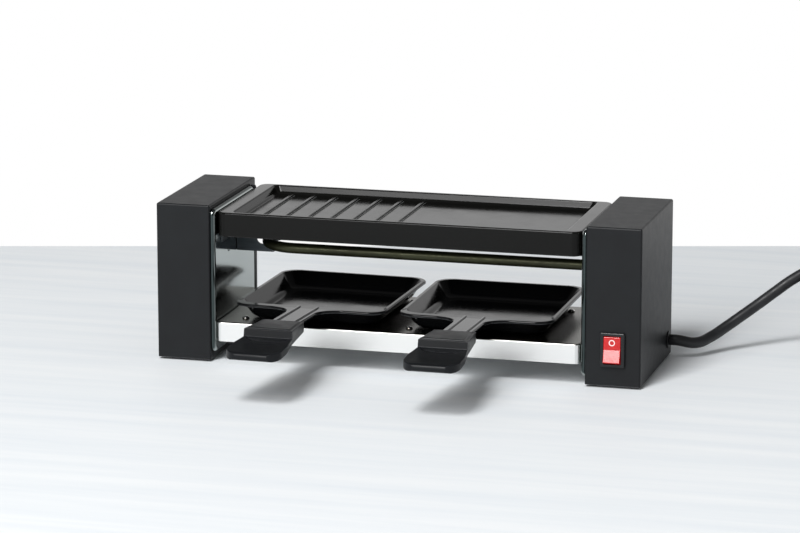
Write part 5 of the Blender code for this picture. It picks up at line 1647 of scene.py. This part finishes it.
    def on_outer_edge(self) -> Test:
        """Tell the edges where the rim or the neck turns down.

        Returns:
            The test of an edge.
        """

        def test(place: Vector, way: Vector) -> bool:
            """Test one edge.

            Args:
                place: The middle of the edge.
                way: The way of the edge.

            Returns:
                True where the rim or the neck turns down.
            """
            front = -self.depth / 2 + self.rim - self.front_lip
            lip = self.height - self.lip_drop + self.sheet
            if abs(way.z) > 0.3:
                return False
            if place.y > front - NEAR:
                shifted = place.copy()
                if place.y < -self.depth / 2 + self.corner:
                    shifted.y += self.front_lip - self.rim
                beside_neck = abs(place.x) > self.neck_half + self.fillet - NEAR
                at_front = level(place.y, front, CLOSE) and beside_neck
                outer = place.y > front + CLOSE and self.on_rim(shifted)
                return level(place.z, self.height, CLOSE) and (at_front or outer)
            ahead = front - place.y
            high = place.z > self.height + ahead * math.tan(self.slope) - (self.height - lip) / 2
            return high and abs(place.x) > self.neck_half - CLOSE and abs(way.y) > 0.05 and ahead > NEAR

        return test

    def neck_ribs(self) -> list[Workpiece]:
        """Press the two stiffening ribs along the neck.

        Returns:
            The ribs.
        """
        start, end, half = self.front_lip - self.overlap, self.overlap - self.visible, self.rib_width / 2
        rib = Workpiece.block("neck_rib", (-half, end, -self.sheet / 2), (half, start, self.rib_height))
        rib.round_along(Axis.Z, self.rib_width * 0.45, 4)
        rib.round_at(Axis.Z, self.rib_height, self.rib_edge, 3)
        other = rib.copy("neck_rib_other")
        rib.placed(self.neck_frame @ Matrix.Translation((-self.rib_offset, 0, 0)))
        other.placed(self.neck_frame @ Matrix.Translation((self.rib_offset, 0, 0)))
        return [rib, other]

    def tongue(self) -> Workpiece:
        """Make the flat end of the neck that the handle is moulded round.

        Returns:
            The tongue.
        """
        half, tip = self.neck_half - self.sheet, -(self.visible + self.in_handle)
        start = self.overlap - self.visible
        tongue = Workpiece.block("tongue", (-half, tip, self.tongue_bottom), (half, start, self.tongue_top))
        tongue.pick(Pick.EDGES, lambda place, way: level(place.y, tip) and abs(way.z) > ALONG)
        tongue.bevel(self.tongue_corner, 4)
        middle = (0, -(self.visible + self.in_handle / 2), 0)
        hole = Workpiece.rod("hole", middle, self.rivet_hole, 10 * self.sheet, sides=24)
        return tongue.carve(hole).placed(self.neck_frame)

    def handle(self, name: str) -> Workpiece:
        """Loft the handle from its sleeve over the step to the rounded paddle.

        Args:
            name: The piece's name.

        Returns:
            The handle in the pan's frame.
        """
        back, step = self.visible, self.visible + self.sleeve
        tip = step + self.paddle
        sections = self.handle_sections(back, step, tip)
        at, half, top, bottom = sections[0]
        handle = Workpiece.block(name, (-half, -step, bottom), (half, -at, top))
        self.fit_section(handle, -step, sections[0][1:], sections[1][1:])
        for before, after in zip(sections[1:], sections[2:]):
            handle.pick(Pick.FACES, lambda place, way, y=-before[0]: level(place.y, y) and way.y < -0.5)
            handle.extrude((0, before[0] - after[0], 0))
            self.fit_section(handle, -after[0], before[1:], after[1:])
        handle.outward()
        self.raise_pad(handle, back, step)
        handle.soften(self.handle_round, 4, 48, miter="MITER_SHARP").outward()
        wall = -step - self.scoop_gap
        middle = (0, wall, self.top - self.step + self.scoop_lift)
        scoop = Workpiece.ball("scoop", middle, self.scoop_radii, 55, 27).everything()
        bpy.ops.mesh.bisect(plane_co=(0, wall, 0), plane_no=(0, 1, 0), clear_outer=True, use_fill=True)
        handle.carve(scoop.outward())
        half = self.neck_half - self.sheet + FIT
        end, start = -(back + self.in_handle + FIT), self.overlap - back
        handle.carve(Workpiece.block("slot", (-half, end, -self.sheet), (half, start, FIT)))
        return handle.soften(self.handle_crisp, 2, 40).placed(self.neck_frame)

    def handle_sections(
        self, back: float, step: float, tip: float
    ) -> list[tuple[float, float, float, float]]:
        """Give the handle's sections as place along the neck, half width, top and bottom.

        Args:
            back: Where the sleeve starts.
            step: Where it steps down.
            tip: Where the paddle ends.

        Returns:
            The sections from back to tip.
        """
        paddle_top = self.top - self.step
        nose = self.thickness / 2
        bottom_step = paddle_top - nose - self.step_body
        bottom_tip = paddle_top - self.fall - self.thickness
        run = tip - nose - step

        def heights(at: float) -> tuple[float, float]:
            """Give top and bottom of the paddle.

            Args:
                at: How far along the neck.

            Returns:
                The top and the bottom.
            """
            share = min((at - step) / run, 1)
            top = paddle_top - self.fall * share
            bottom = bottom_step + (bottom_tip - bottom_step) * share
            over = max(at - (tip - nose), 0) / nose
            pinch = nose * (1 - math.sqrt(max(1 - over**2, 0.05)))
            return top - pinch, bottom + pinch

        flare = self.riser_flare
        found = [
            (back, self.back_half, self.top, self.top - self.sleeve_depth),
            (step, self.step_half, self.top, bottom_step),
            (step + self.riser, self.step_half + flare, paddle_top, bottom_step - flare),
        ]
        widest = tip - 2 * self.handle_corner
        for at in (step + self.bend, widest):
            share = (at - step) / (widest - step)
            half = self.step_half + (self.paddle_half - self.step_half) * share
            found.append((at, half, *heights(at)))
        radius = self.handle_corner
        for i in range(9):
            turn = math.radians(82 * i / 8)
            at = tip - radius + radius * math.sin(turn)
            found.append((at, self.paddle_half - radius + radius * math.cos(turn), *heights(at)))
        return found

    @staticmethod
    def fit_section(
        handle: Workpiece,
        y: float,
        before: tuple[float, float, float],
        after: tuple[float, float, float],
    ) -> None:
        """Scale the end face from one section to the next.

        Args:
            handle: The lofted handle.
            y: Where the end face lies.
            before: Half width, top and bottom that it has.
            after: Half width, top and bottom that it gets.
        """
        handle.pick(Pick.FACES, lambda place, way: level(place.y, y) and abs(way.y) > 0.5)
        old_half, old_top, old_bottom = before
        half, top, bottom = after
        tall = (top - bottom) / (old_top - old_bottom)
        middle = (old_top + old_bottom) / 2
        handle.stretch((half / old_half, 1, tall), (0, y, middle))
        handle.slide((0, 0, (top + bottom) / 2 - middle))

    def raise_pad(self, handle: Workpiece, back: float, step: float) -> None:
        """Raise the flat pad on the sleeve.

        Args:
            handle: The lofted handle.
            back: Where the sleeve starts.
            step: Where it steps down.
        """
        on_top = 2 * CLOSE
        handle.pick(
            Pick.FACES,
            lambda at, way: way.z > ALONG and level(at.z, self.top, on_top) and -step < at.y < -back,
        )
        handle.inset(self.pad_inset).extrude((0, 0, self.pad_height))
        handle.stretch((0.95, 0.97, 1), (0, -(back + step) / 2, self.top))


@dataclass
class RockerSwitch:
    """The lit rocker switch in the right housing, with its frame."""

    finishes: Finishes
    bezel_proud: float = 0.0018
    bezel_round: float = 0.0007
    rocker_width: float = 0.0102
    rocker_radius: float = 0.0084
    face_out: float = 0.00355
    dish: float = 0.0009
    back: float = 0.0026
    tilt: float = math.radians(9)
    axle_depth: float = 0.002
    height: float = 0.0238
    body_size: tuple[float, float] = (0.0132, 0.0194)
    mark_radius: float = 0.0016
    mark_height: float = 0.0043
    mark_line: float = 0.0003
    mark_flatness: float = 0.3
    face_reach: float = 0.00761
    frame_corner: float = 0.0009
    pocket_depth: float = 0.0044
    frame_crisp: float = 0.00022
    rocker_round: float = 0.0004
    axle_radius: float = 0.001

    def build(self) -> list[Object]:
        """Mould the frame, the rocker and its ring mark.

        Returns:
            The frame, the rocker and its mark.
        """
        low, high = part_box("switch_body")
        x = (low.x + high.x) / 2
        axle = Vector((x, low.y + self.axle_depth, self.height))
        return [self.frame(low, high, axle), self.rocker(axle), self.mark(axle)]

    def frame(self, low: Vector, high: Vector, axle: Vector) -> Object:
        """Mould the frame with its pocket, and the block behind it.

        Args:
            low: The lowest corner.
            high: The highest corner.
            axle: The middle of the rocker's axle.

        Returns:
            The frame.
        """
        shell = Workpiece.block("switch_frame", low, (high.x, low.y + self.bezel_proud, high.z))
        shell.round_along(Axis.Y, self.frame_corner, 4)
        shell.round_at(Axis.Y, low.y, self.bezel_round, 3)
        half_x, half_z = self.body_size[0] / 2, self.body_size[1] / 2
        corner = (axle.x - half_x, low.y + self.bezel_proud / 2, self.height - half_z)
        opposite = (axle.x + half_x, high.y, self.height + half_z)
        shell.carve(Workpiece.block("switch_block", corner, opposite), Carve.WELD)
        room_x, room_z = self.rocker_width / 2 + FIT, self.rocker_radius + FIT
        corner = (axle.x - room_x, low.y - OVERRUN, self.height - room_z)
        opposite = (axle.x + room_x, axle.y + self.pocket_depth, self.height + room_z)
        shell.carve(Workpiece.block("pocket", corner, opposite)).soften(self.frame_crisp, 3, 45)
        return shell.dress(self.finishes.switch, "switch_plastic", "grill", "switch_body")

    def rocker(self, axle: Vector) -> Object:
        """Mould the rocker with its two faces that meet in a shallow trough.

        Args:
            axle: The middle of its axle.

        Returns:
            The rocker.
        """
        half, radius = self.rocker_width / 2, self.rocker_radius
        rocker = Workpiece.block("rocker_cap", (-half, -self.face_out, -radius), (half, self.back, radius))
        rocker.score((0, 0, 0), (0, 0, 1))
        rocker.pick(Pick.POINTS, lambda place, way: place.y < 0 and level(place.z, 0))
        rocker.slide((0, self.dish, 0))
        rocker.carve(Workpiece.rod("round", (0, 0, 0), radius, 4 * half, Axis.X, 96), Carve.KEEP_COMMON)
        rocker.soften(self.rocker_round, 8, 50)
        length = 2 * half + 2 * self.axle_radius
        rocker.join(Workpiece.rod("axle", (0, 0, 0), self.axle_radius, length, Axis.X, 20))
        rocker.placed(self.tipped(axle))
        return rocker.dress(self.finishes.rocker, "rocker_plastic", "rocker", "switch_rocker", smooth=12)

    def tipped(self, axle: Vector) -> Matrix:
        """Give the frame of the rocker as it stands, pressed in at its top."""
        return Matrix.Translation(axle) @ Matrix.Rotation(-self.tilt, 4, "X")

    def mark(self, axle: Vector) -> Object:
        """Print the ring on the upper face.

        Args:
            axle: The middle of the rocker's axle.

        Returns:
            The ring.
        """
        Workpiece.clear()
        bpy.ops.mesh.primitive_torus_add(
            major_segments=40, minor_segments=8, major_radius=self.mark_radius, minor_radius=self.mark_line
        )
        ring = Workpiece("ring_mark")
        ring.everything().stretch((1, 1, self.mark_flatness), (0, 0, 0))
        lean = math.atan2(self.dish, self.rocker_radius * math.cos(math.radians(25)))
        out = self.face_out - self.dish * (1 - self.mark_height / self.face_reach)
        face = Matrix.Translation((0, -out, self.mark_height)) @ Matrix.Rotation(math.pi / 2 + lean, 4, "X")
        ring.placed(self.tipped(axle) @ face)
        return ring.dress(self.finishes.mark, "rocker_plastic", "rocker")


@dataclass
class MainsCord:
    """The cord as it lies, the coil of its spare length, the tie and the plug."""

    finishes: Finishes
    radius: float = 0.0034
    exit_back_inset: float = 0.0105
    exit_height: float = 0.0117
    start_out: float = 0.0012
    lead: float = 0.004
    point_step: float = 0.013
    turns: float = 3.6
    mean_radius: float = 0.036
    coil_gap: float = 0.0009
    points_per_turn: int = 24
    start_angle: float = math.radians(-38)
    start: tuple[float, float] = (0.1544, 0.1259)
    turning_share: float = 0.12
    coil_height: float = 0.0048
    tail_length: float = 0.080
    tail_turn: float = math.radians(34)
    tail_steps: int = 8
    plug_radius: float = 0.0185
    gap: float = FIT
    tie_round: float = 0.0003
    grommet_neck: float = 0.0046
    grommet_flange: float = 0.0055
    grommet_thick: float = 0.0006
    plug_length: float = 0.046
    plug_crisp: float = 0.0002
    pin_offset: float = 0.0095
    pin_bore: float = 0.0027
    pin_bore_length: float = 0.006
    grip_ribs: int = 5
    grip_start: float = 0.0018
    grip_pitch: float = 0.0026
    grip_radius: float = 0.0054
    grip_growth: float = 0.0011
    recess: tuple[float, float, float] = (0.0018, 0.0028, 0.0083)

    PLUG_FOOT = ((0.0, 0.0045), (0.0008, 0.0052))
    GRIP_RIB = ((0.0, 0.0), (0.0012, 0.0002), (0.00121, -0.0004))
    PLUG_HEAD = (
        (0.0150, 0.0113),
        (0.0156, 0.0115),
        (0.0318, 0.0115),
        (0.0326, 0.0122),
        (0.0358, 0.0181),
        (0.0362, 0.0185),
        (0.0448, 0.0185),
        (0.0456, 0.0181),
        (0.0460, 0.0173),
    )
    ROUTE = (
        (0.0131, 0.0026, -0.0018),
        (0.0196, 0.0095, -0.0021),
        (0.0276, 0.0205, 0.0018),
        (0.0386, 0.0290, 0.0094),
        (0.0496, 0.0370, 0.0173),
        (0.0611, 0.0435, 0.0260),
        (0.0731, 0.0495, 0.0343),
        (0.0846, 0.0556, 0.0385),
        (0.0956, 0.0624, 0.0374),
        (0.1062, 0.0700, 0.0308),
        (0.1154, 0.0777, 0.0207),
        (0.1240, 0.0858, 0.0097),
        (0.1323, 0.0948, 0.0008),
        (0.1403, 0.1047, -0.0043),
        (0.1477, 0.1154, -0.0064),
    )

    @property
    def exit(self) -> Vector:
        """The middle of the cord's hole on the outside of the right housing."""
        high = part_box("right_housing_shell")[1]
        return Vector((high.x, high.y - self.exit_back_inset, self.exit_height))

    @property
    def pitch(self) -> float:
        """How far apart the coil's turns lie."""
        return 2 * self.radius + self.coil_gap

    def build(self) -> list[Object]:
        """Lay the cord, then fit its grommet, its tie and its plug.

        Returns:
            The cord and the pieces on it.
        """
        points, heading = self.route()
        plug = self.plug(points[-1] + self.gap * heading, heading)
        tie = self.tie()
        cord = self.sheath(points)
        return [cord, tie, plug, self.grommet()]

    @staticmethod
    def walked(points: Sequence[Vector]) -> float:
        """Measure the way along some points."""
        return sum((b - a).length for a, b in zip(points, points[1:]))

    def eased(self, places: Sequence[Vector], step: float) -> list[Vector]:
        """Give points about a step apart on a smooth curve through some places.

        Args:
            places: The places.
            step: How far apart the points are.

        Returns:
            The points.
        """
        ends = [2 * places[0] - places[1], *places, 2 * places[-1] - places[-2]]
        fine: list[Vector] = []
        for a, b, c, d in zip(ends, ends[1:], ends[2:], ends[3:]):
            for i in range(16):
                t = i / 16
                square, cube = (2 * a - 5 * b + 4 * c - d) * t**2, (3 * b - a - 3 * c + d) * t**3
                fine.append(0.5 * (2 * b + (c - a) * t + square + cube))
        fine.append(places[-1])
        total = self.walked(fine)
        count = max(2, round(total / step))
        found = [fine[0]]
        gone = 0.0
        for a, b in zip(fine, fine[1:]):
            stretch = (b - a).length
            while len(found) < count and gone + stretch >= total * len(found) / count:
                found.append(a.lerp(b, (total * len(found) / count - gone) / stretch))
            gone += stretch
        return [*found, fine[-1]]

    def wound(self, angle: float) -> Vector:
        """Give a point of the coil about its middle: in along the lower layer, out along the upper one.

        Args:
            angle: How far round from its start.

        Returns:
            The point.
        """
        middle = math.pi * self.turns
        ease = 2 * math.pi * self.turning_share
        off = math.hypot(angle - middle, ease) - ease
        radius = self.mean_radius - self.pitch * self.turns / 4 + self.pitch * off / (2 * math.pi)
        climb = min(max((angle - middle) / math.pi + 0.5, 0), 1)
        height = self.coil_height + self.pitch * (3 * climb**2 - 2 * climb**3)
        turn = self.start_angle + angle
        return Vector((radius * math.cos(turn), radius * math.sin(turn), height))

    def route(self) -> tuple[list[Vector], Vector]:
        """Give the cord's whole line from the housing to the plug.

        Returns:
            The points, and the way that the plug points.
        """
        count = round(self.turns * self.points_per_turn)
        loose = [self.wound(2 * math.pi * self.turns * i / count) for i in range(count + 1)]
        way_in, way_out = (loose[1] - loose[0]).normalized(), (loose[-1] - loose[-2]).normalized()
        coil_start = self.exit + Vector((*self.start, 0))
        coil_start.z = self.coil_height
        shift = coil_start + 2 * self.radius * way_in - loose[0]
        shift.z = 0
        coil = [coil_start, *[point + shift for point in loose]]
        coil.append(coil[-1] + 2 * self.radius * way_out)
        start = self.exit + Vector((self.start_out, 0, 0))
        places = [start + Vector((self.lead, 0, 0)), *[self.exit + Vector(step) for step in self.ROUTE]]
        places.append(coil[0] - (self.gap + self.lead) * way_in)
        points = [start, *self.eased(places, self.point_step), *coil]
        tail = [coil[-1] + self.gap * way_out]
        tail.append(tail[0] + self.lead * way_out)
        bearing = math.atan2(way_out.y, way_out.x)
        rise = self.plug_radius - coil[-1].z
        for i in range(1, self.tail_steps + 1):
            share = i / self.tail_steps
            ease = 3 * share**2 - 2 * share**3
            turn = bearing + self.tail_turn * ease
            ahead = Vector((math.cos(turn), math.sin(turn), 0))
            next_point = tail[-1] + self.tail_length / self.tail_steps * ahead
            next_point.z = coil[-1].z + rise * ease
            tail.append(next_point)
        turn = bearing + self.tail_turn
        heading = Vector((math.cos(turn), math.sin(turn), 0))
        tail.append(tail[-1] + self.lead * heading)
        return [*points, *tail[1:]], heading

    def sheath(self, points: list[Vector]) -> Object:
        """Args:
            points: The line that it follows.

        Returns:
            The cord.
        """
        curve = bpy.data.curves.new("mains_cord", "CURVE")
        curve.dimensions = "3D"
        curve.bevel_depth = self.radius
        curve.bevel_resolution = 6
        curve.use_fill_caps = True
        curve.resolution_u = 5
        spline = curve.splines.new("BEZIER")
        spline.bezier_points.add(len(points) - 1)
        for knot, point in zip(spline.bezier_points, points):
            knot.co = point
            knot.handle_left_type = knot.handle_right_type = "AUTO"
        curve.materials.append(self.finishes.cord)
        cord = bpy.data.objects.new("mains_cord", curve)
        bpy.context.scene.collection.objects.link(cord)
        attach(cord, "grill")
        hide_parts("cord", "cord_coil", "cord_tail")
        return cord

    def tie(self) -> Object:
        """Wrap the band that holds the coil.

        Returns:
            The band.
        """
        node = frame["nodes"]["coil_tie"]
        Workpiece.clear()
        node.select_set(True)
        bpy.context.view_layer.objects.active = node
        bpy.ops.object.duplicate(linked=False)
        band = Workpiece("cord_tie")
        for key in list(band.thing.keys()):
            del band.thing[key]
        band.thing.parent = None
        band.outward().soften(self.tie_round, 3, 50)
        return band.dress(self.finishes.tie, "cord_rubber", "grill", "coil_tie")

    def grommet(self) -> Object:
        """Turn the rubber ring that the cord leaves the housing through.

        Returns:
            The ring.
        """
        low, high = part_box("cord_grommet")
        foot, length = (low.x, *self.exit.yz), high.x - low.x
        neck, flange, thick, chip = self.grommet_neck, self.grommet_flange, self.grommet_thick, FIT / 3
        profile = [
            (0.0, flange - 2 * chip),
            (2 * chip, flange),
            (thick - chip, flange),
            (thick, flange - chip),
            (thick + NEAR, neck),
            (length - thick - NEAR, neck),
            (length - thick, flange - chip),
            (length - thick + chip, flange),
            (length - 2.5 * chip, flange),
            (length, flange - 4 * chip),
        ]
        ring = Workpiece.turned("cord_grommet_ring", foot, Axis.X, profile)
        ring.carve(Workpiece.rod("bore", foot, self.radius + chip, 10 * OVERRUN, Axis.X))
        return ring.dress(self.finishes.grommet, "grommet_rubber", "grill", "cord_grommet")

    def plug(self, place: Vector, heading: Vector) -> Object:
        """Mould the round plug with its ribbed grip, its sleeve and its bores.

        Args:
            place: Where the cord enters it.
            heading: The way it points.

        Returns:
            The plug's body.
        """
        profile = list(self.PLUG_FOOT)
        for i in range(self.grip_ribs):
            at, radius = self.grip_start + self.grip_pitch * i, self.grip_radius + self.grip_growth * i
            profile += [(at + ahead, radius + out) for ahead, out in self.GRIP_RIB]
        profile += self.PLUG_HEAD
        body = Workpiece.turned("round_plug", (0, 0, 0), Axis.Z, profile, 72)
        face, reach, (depth, half, drop) = self.plug_length, 5 * OVERRUN, self.recess
        for way in (-1, 1):
            foot = (0, way * self.pin_offset, face)
            body.carve(Workpiece.rod("bore", foot, self.pin_bore, self.pin_bore_length, sides=32))
            middle = way * (self.plug_radius - depth + reach)
            corner, opposite = (middle - reach, -half, face - drop), (middle + reach, half, face + OVERRUN)
            body.carve(Workpiece.block("recess", corner, opposite))
        body.soften(self.plug_crisp, 2, 55)
        turn = Matrix.Rotation(math.atan2(heading.y, heading.x), 4, "Z")
        body.placed(Matrix.Translation(place) @ turn @ Matrix.Rotation(math.pi / 2, 4, "Y"))
        return body.dress(self.finishes.plug, "plug_plastic", "grill", "plug_body")


@dataclass
class SmallParts:
    """The nodes that keep their solids: fasteners, feet, ledges, wires and what the housings hold."""

    finishes: Finishes

    def build(self) -> list[Object]:
        """Give each kept node its finish.

        Returns:
            The nodes.
        """
        done = []
        for name, material in self.by_node().items():
            node = frame["nodes"][name]
            paint(node, material)
            done.append(node)
        return done

    def by_node(self) -> dict[str, Material]:
        """Name the finish of each kept node.

        Returns:
            The finishes by node name.
        """
        look = self.finishes
        found = {
            "thermal_limiter": look.limiter,
            "earth_stud": look.brass,
            "switch_terminal_lower": look.brass,
            "switch_terminal_upper": look.brass,
            "heater_terminal_front": look.ceramic,
            "heater_terminal_back": look.ceramic,
            "cord_clamp": look.clamp,
            "cord_inner": look.cord,
            "wire_live": look.live,
            "wire_switched": look.live,
            "wire_neutral": look.neutral,
            "wire_earth": look.earth,
            "wire_limited": look.sleeve,
        }
        for side in Side:
            found[f"{side.word}_base_plate"] = look.base
            found[f"{side.word}_plate_ledge"] = look.ledge
            found[f"{side.word}_pan_rivet"] = look.screw
            found[f"plug_pin_{side.word}"] = look.plated
            found[f"plug_clip_{side.word}"] = look.plated
            for end in ENDS:
                found[f"{side.word}_foot_{end}"] = look.foot
                found[f"{side.word}_base_screw_{end}"] = look.screw
                found[f"{side.word}_tray_screw_{end}"] = look.screw
        return found


@dataclass
class Studio:
    """The camera, the lamps, the white surroundings and the pale table."""

    target: tuple[float, float, float] = (-0.0098, 0.0465, 0.0562)
    azimuth: float = math.radians(15.17)
    elevation: float = math.radians(12.51)
    distance: float = 2.362
    lens: float = 172.9
    sensor: float = 36.0
    edge_behind: float = 0.319
    table: tuple[float, float] = (7.0, 5.0)
    key_power: float = 60.0
    front_power: float = 74.0
    sky_light: float = 0.24
    dim_above: tuple[float, float, float, float] = (1.0, 0.15, 0.24, 0.42)
    dim_in_front: tuple[float, float, float, float] = (0.4, 1.0, -0.3, 0.2)
    overhead_place: tuple[float, float, float] = (-0.287, -1.813, 2.621)
    overhead_target: tuple[float, float, float] = (0.0, 0.0, 0.02)
    overhead_size: tuple[float, float] = (0.8, 0.8)
    front_place: tuple[float, float, float] = (-0.74, -2.79, 1.8)
    front_target: tuple[float, float, float] = (0.0, 0.0, 0.05)
    front_size: tuple[float, float] = (1.05, 2.0)

    def build(self) -> None:
        """Set up the studio."""
        self.camera()
        self.floor()
        self.surroundings()
        self.lamp("overhead", self.overhead_place, self.overhead_target, self.overhead_size, self.key_power)
        self.lamp("front", self.front_place, self.front_target, self.front_size, self.front_power)

    def camera(self) -> None:
        """Set the camera at the picture's viewing angle."""
        flat, rise = math.cos(self.elevation), math.sin(self.elevation)
        back = Vector((math.sin(self.azimuth) * flat, -math.cos(self.azimuth) * flat, rise))
        data = bpy.data.cameras.new("camera")
        data.lens = self.lens
        data.sensor_width = self.sensor
        eye = bpy.data.objects.new("camera", data)
        bpy.context.scene.collection.objects.link(eye)
        eye.location = Vector(self.target) + self.distance * back
        eye.rotation_euler = (-back).to_track_quat("-Z", "Y").to_euler()
        bpy.context.scene.camera = eye

    def floor(self) -> None:
        """Lay the table top, whose far edge runs across the picture."""
        Workpiece.clear()
        wide, deep = self.table
        bpy.ops.mesh.primitive_plane_add(size=1)
        table = Workpiece("pale_table")
        table.everything().stretch((wide, deep, 1), (0, 0, 0))
        ahead = Matrix.Rotation(self.azimuth, 4, "Z")
        middle = Vector(self.target) + ahead @ Vector((0, self.edge_behind - deep / 2, 0))
        middle.z = 0
        table.placed(Matrix.Translation(middle) @ ahead)
        paint(table.thing, PaleTable().material())

    def surroundings(self) -> None:
        """Make the surroundings white to the eye and in reflections, and a plain light elsewhere."""
        world = bpy.data.worlds.new("studio")
        world.use_nodes = True
        bpy.context.scene.world = world
        sheet = NodeSheet(world.node_tree)
        sheet.tree.nodes.clear()
        rays = sheet.add("LightPath", {}).outputs
        way = sheet.add("TexCoord", {}).outputs["Generated"]
        seen = sheet.combined("MAXIMUM", rays["Is Camera Ray"], rays["Is Transmission Ray"])
        above = sheet.ranged(sheet.along(Axis.Z, way), *self.dim_above)
        in_front = sheet.ranged(sheet.along(Axis.Y, way), *self.dim_in_front)
        reflected = sheet.combined("MULTIPLY", above, in_front)
        plain = {0: rays["Is Glossy Ray"], 2: self.sky_light, 3: reflected}
        unseen = sheet.add("Mix", plain, data_type="FLOAT").outputs[0]
        strength = sheet.add("Mix", {0: seen, 2: unseen, 3: 1.0}, data_type="FLOAT").outputs[0]
        light = sheet.add("Background", {"Color": (1, 1, 1, 1), "Strength": strength}).outputs[0]
        sheet.add("OutputWorld", {"Surface": light})
        bpy.context.scene.view_settings.view_transform = "Standard"

    @staticmethod
    def lamp(name: str, place: Place, target: Place, size: tuple[float, float], power: float) -> None:
        """Hang a soft rectangular lamp.

        Args:
            name: The lamp's name.
            place: Where it hangs.
            target: What it points at.
            size: Its width and height.
            power: Its power in watts.
        """
        data = bpy.data.lights.new(name, "AREA")
        data.shape = "RECTANGLE"
        data.size, data.size_y = size
        data.energy = power
        lamp = bpy.data.objects.new(name, data)
        bpy.context.scene.collection.objects.link(lamp)
        lamp.location = place
        lamp.rotation_euler = (Vector(target) - Vector(place)).to_track_quat("-Z", "Y").to_euler()


def main() -> None:
    """Set up the studio, build every sub-assembly and report each piece."""
    logging.basicConfig(level=logging.INFO, format="%(message)s")
    Studio().build()
    finishes = Finishes()
    assemblies: list[Any] = [
        MainsCord(finishes),
        Housing(Side.LEFT, finishes),
        Housing(Side.RIGHT, finishes),
        GrillPlate(finishes),
        Heater(finishes),
        Tray(finishes),
        Pan(Side.LEFT, finishes),
        Pan(Side.RIGHT, finishes),
        RockerSwitch(finishes),
        SmallParts(finishes),
    ]
    for assembly in assemblies:
        for piece in assembly.build():
            LOG.info("%s: %s", type(assembly).__name__, piece.name)


if __name__ == "__main__":
    main()
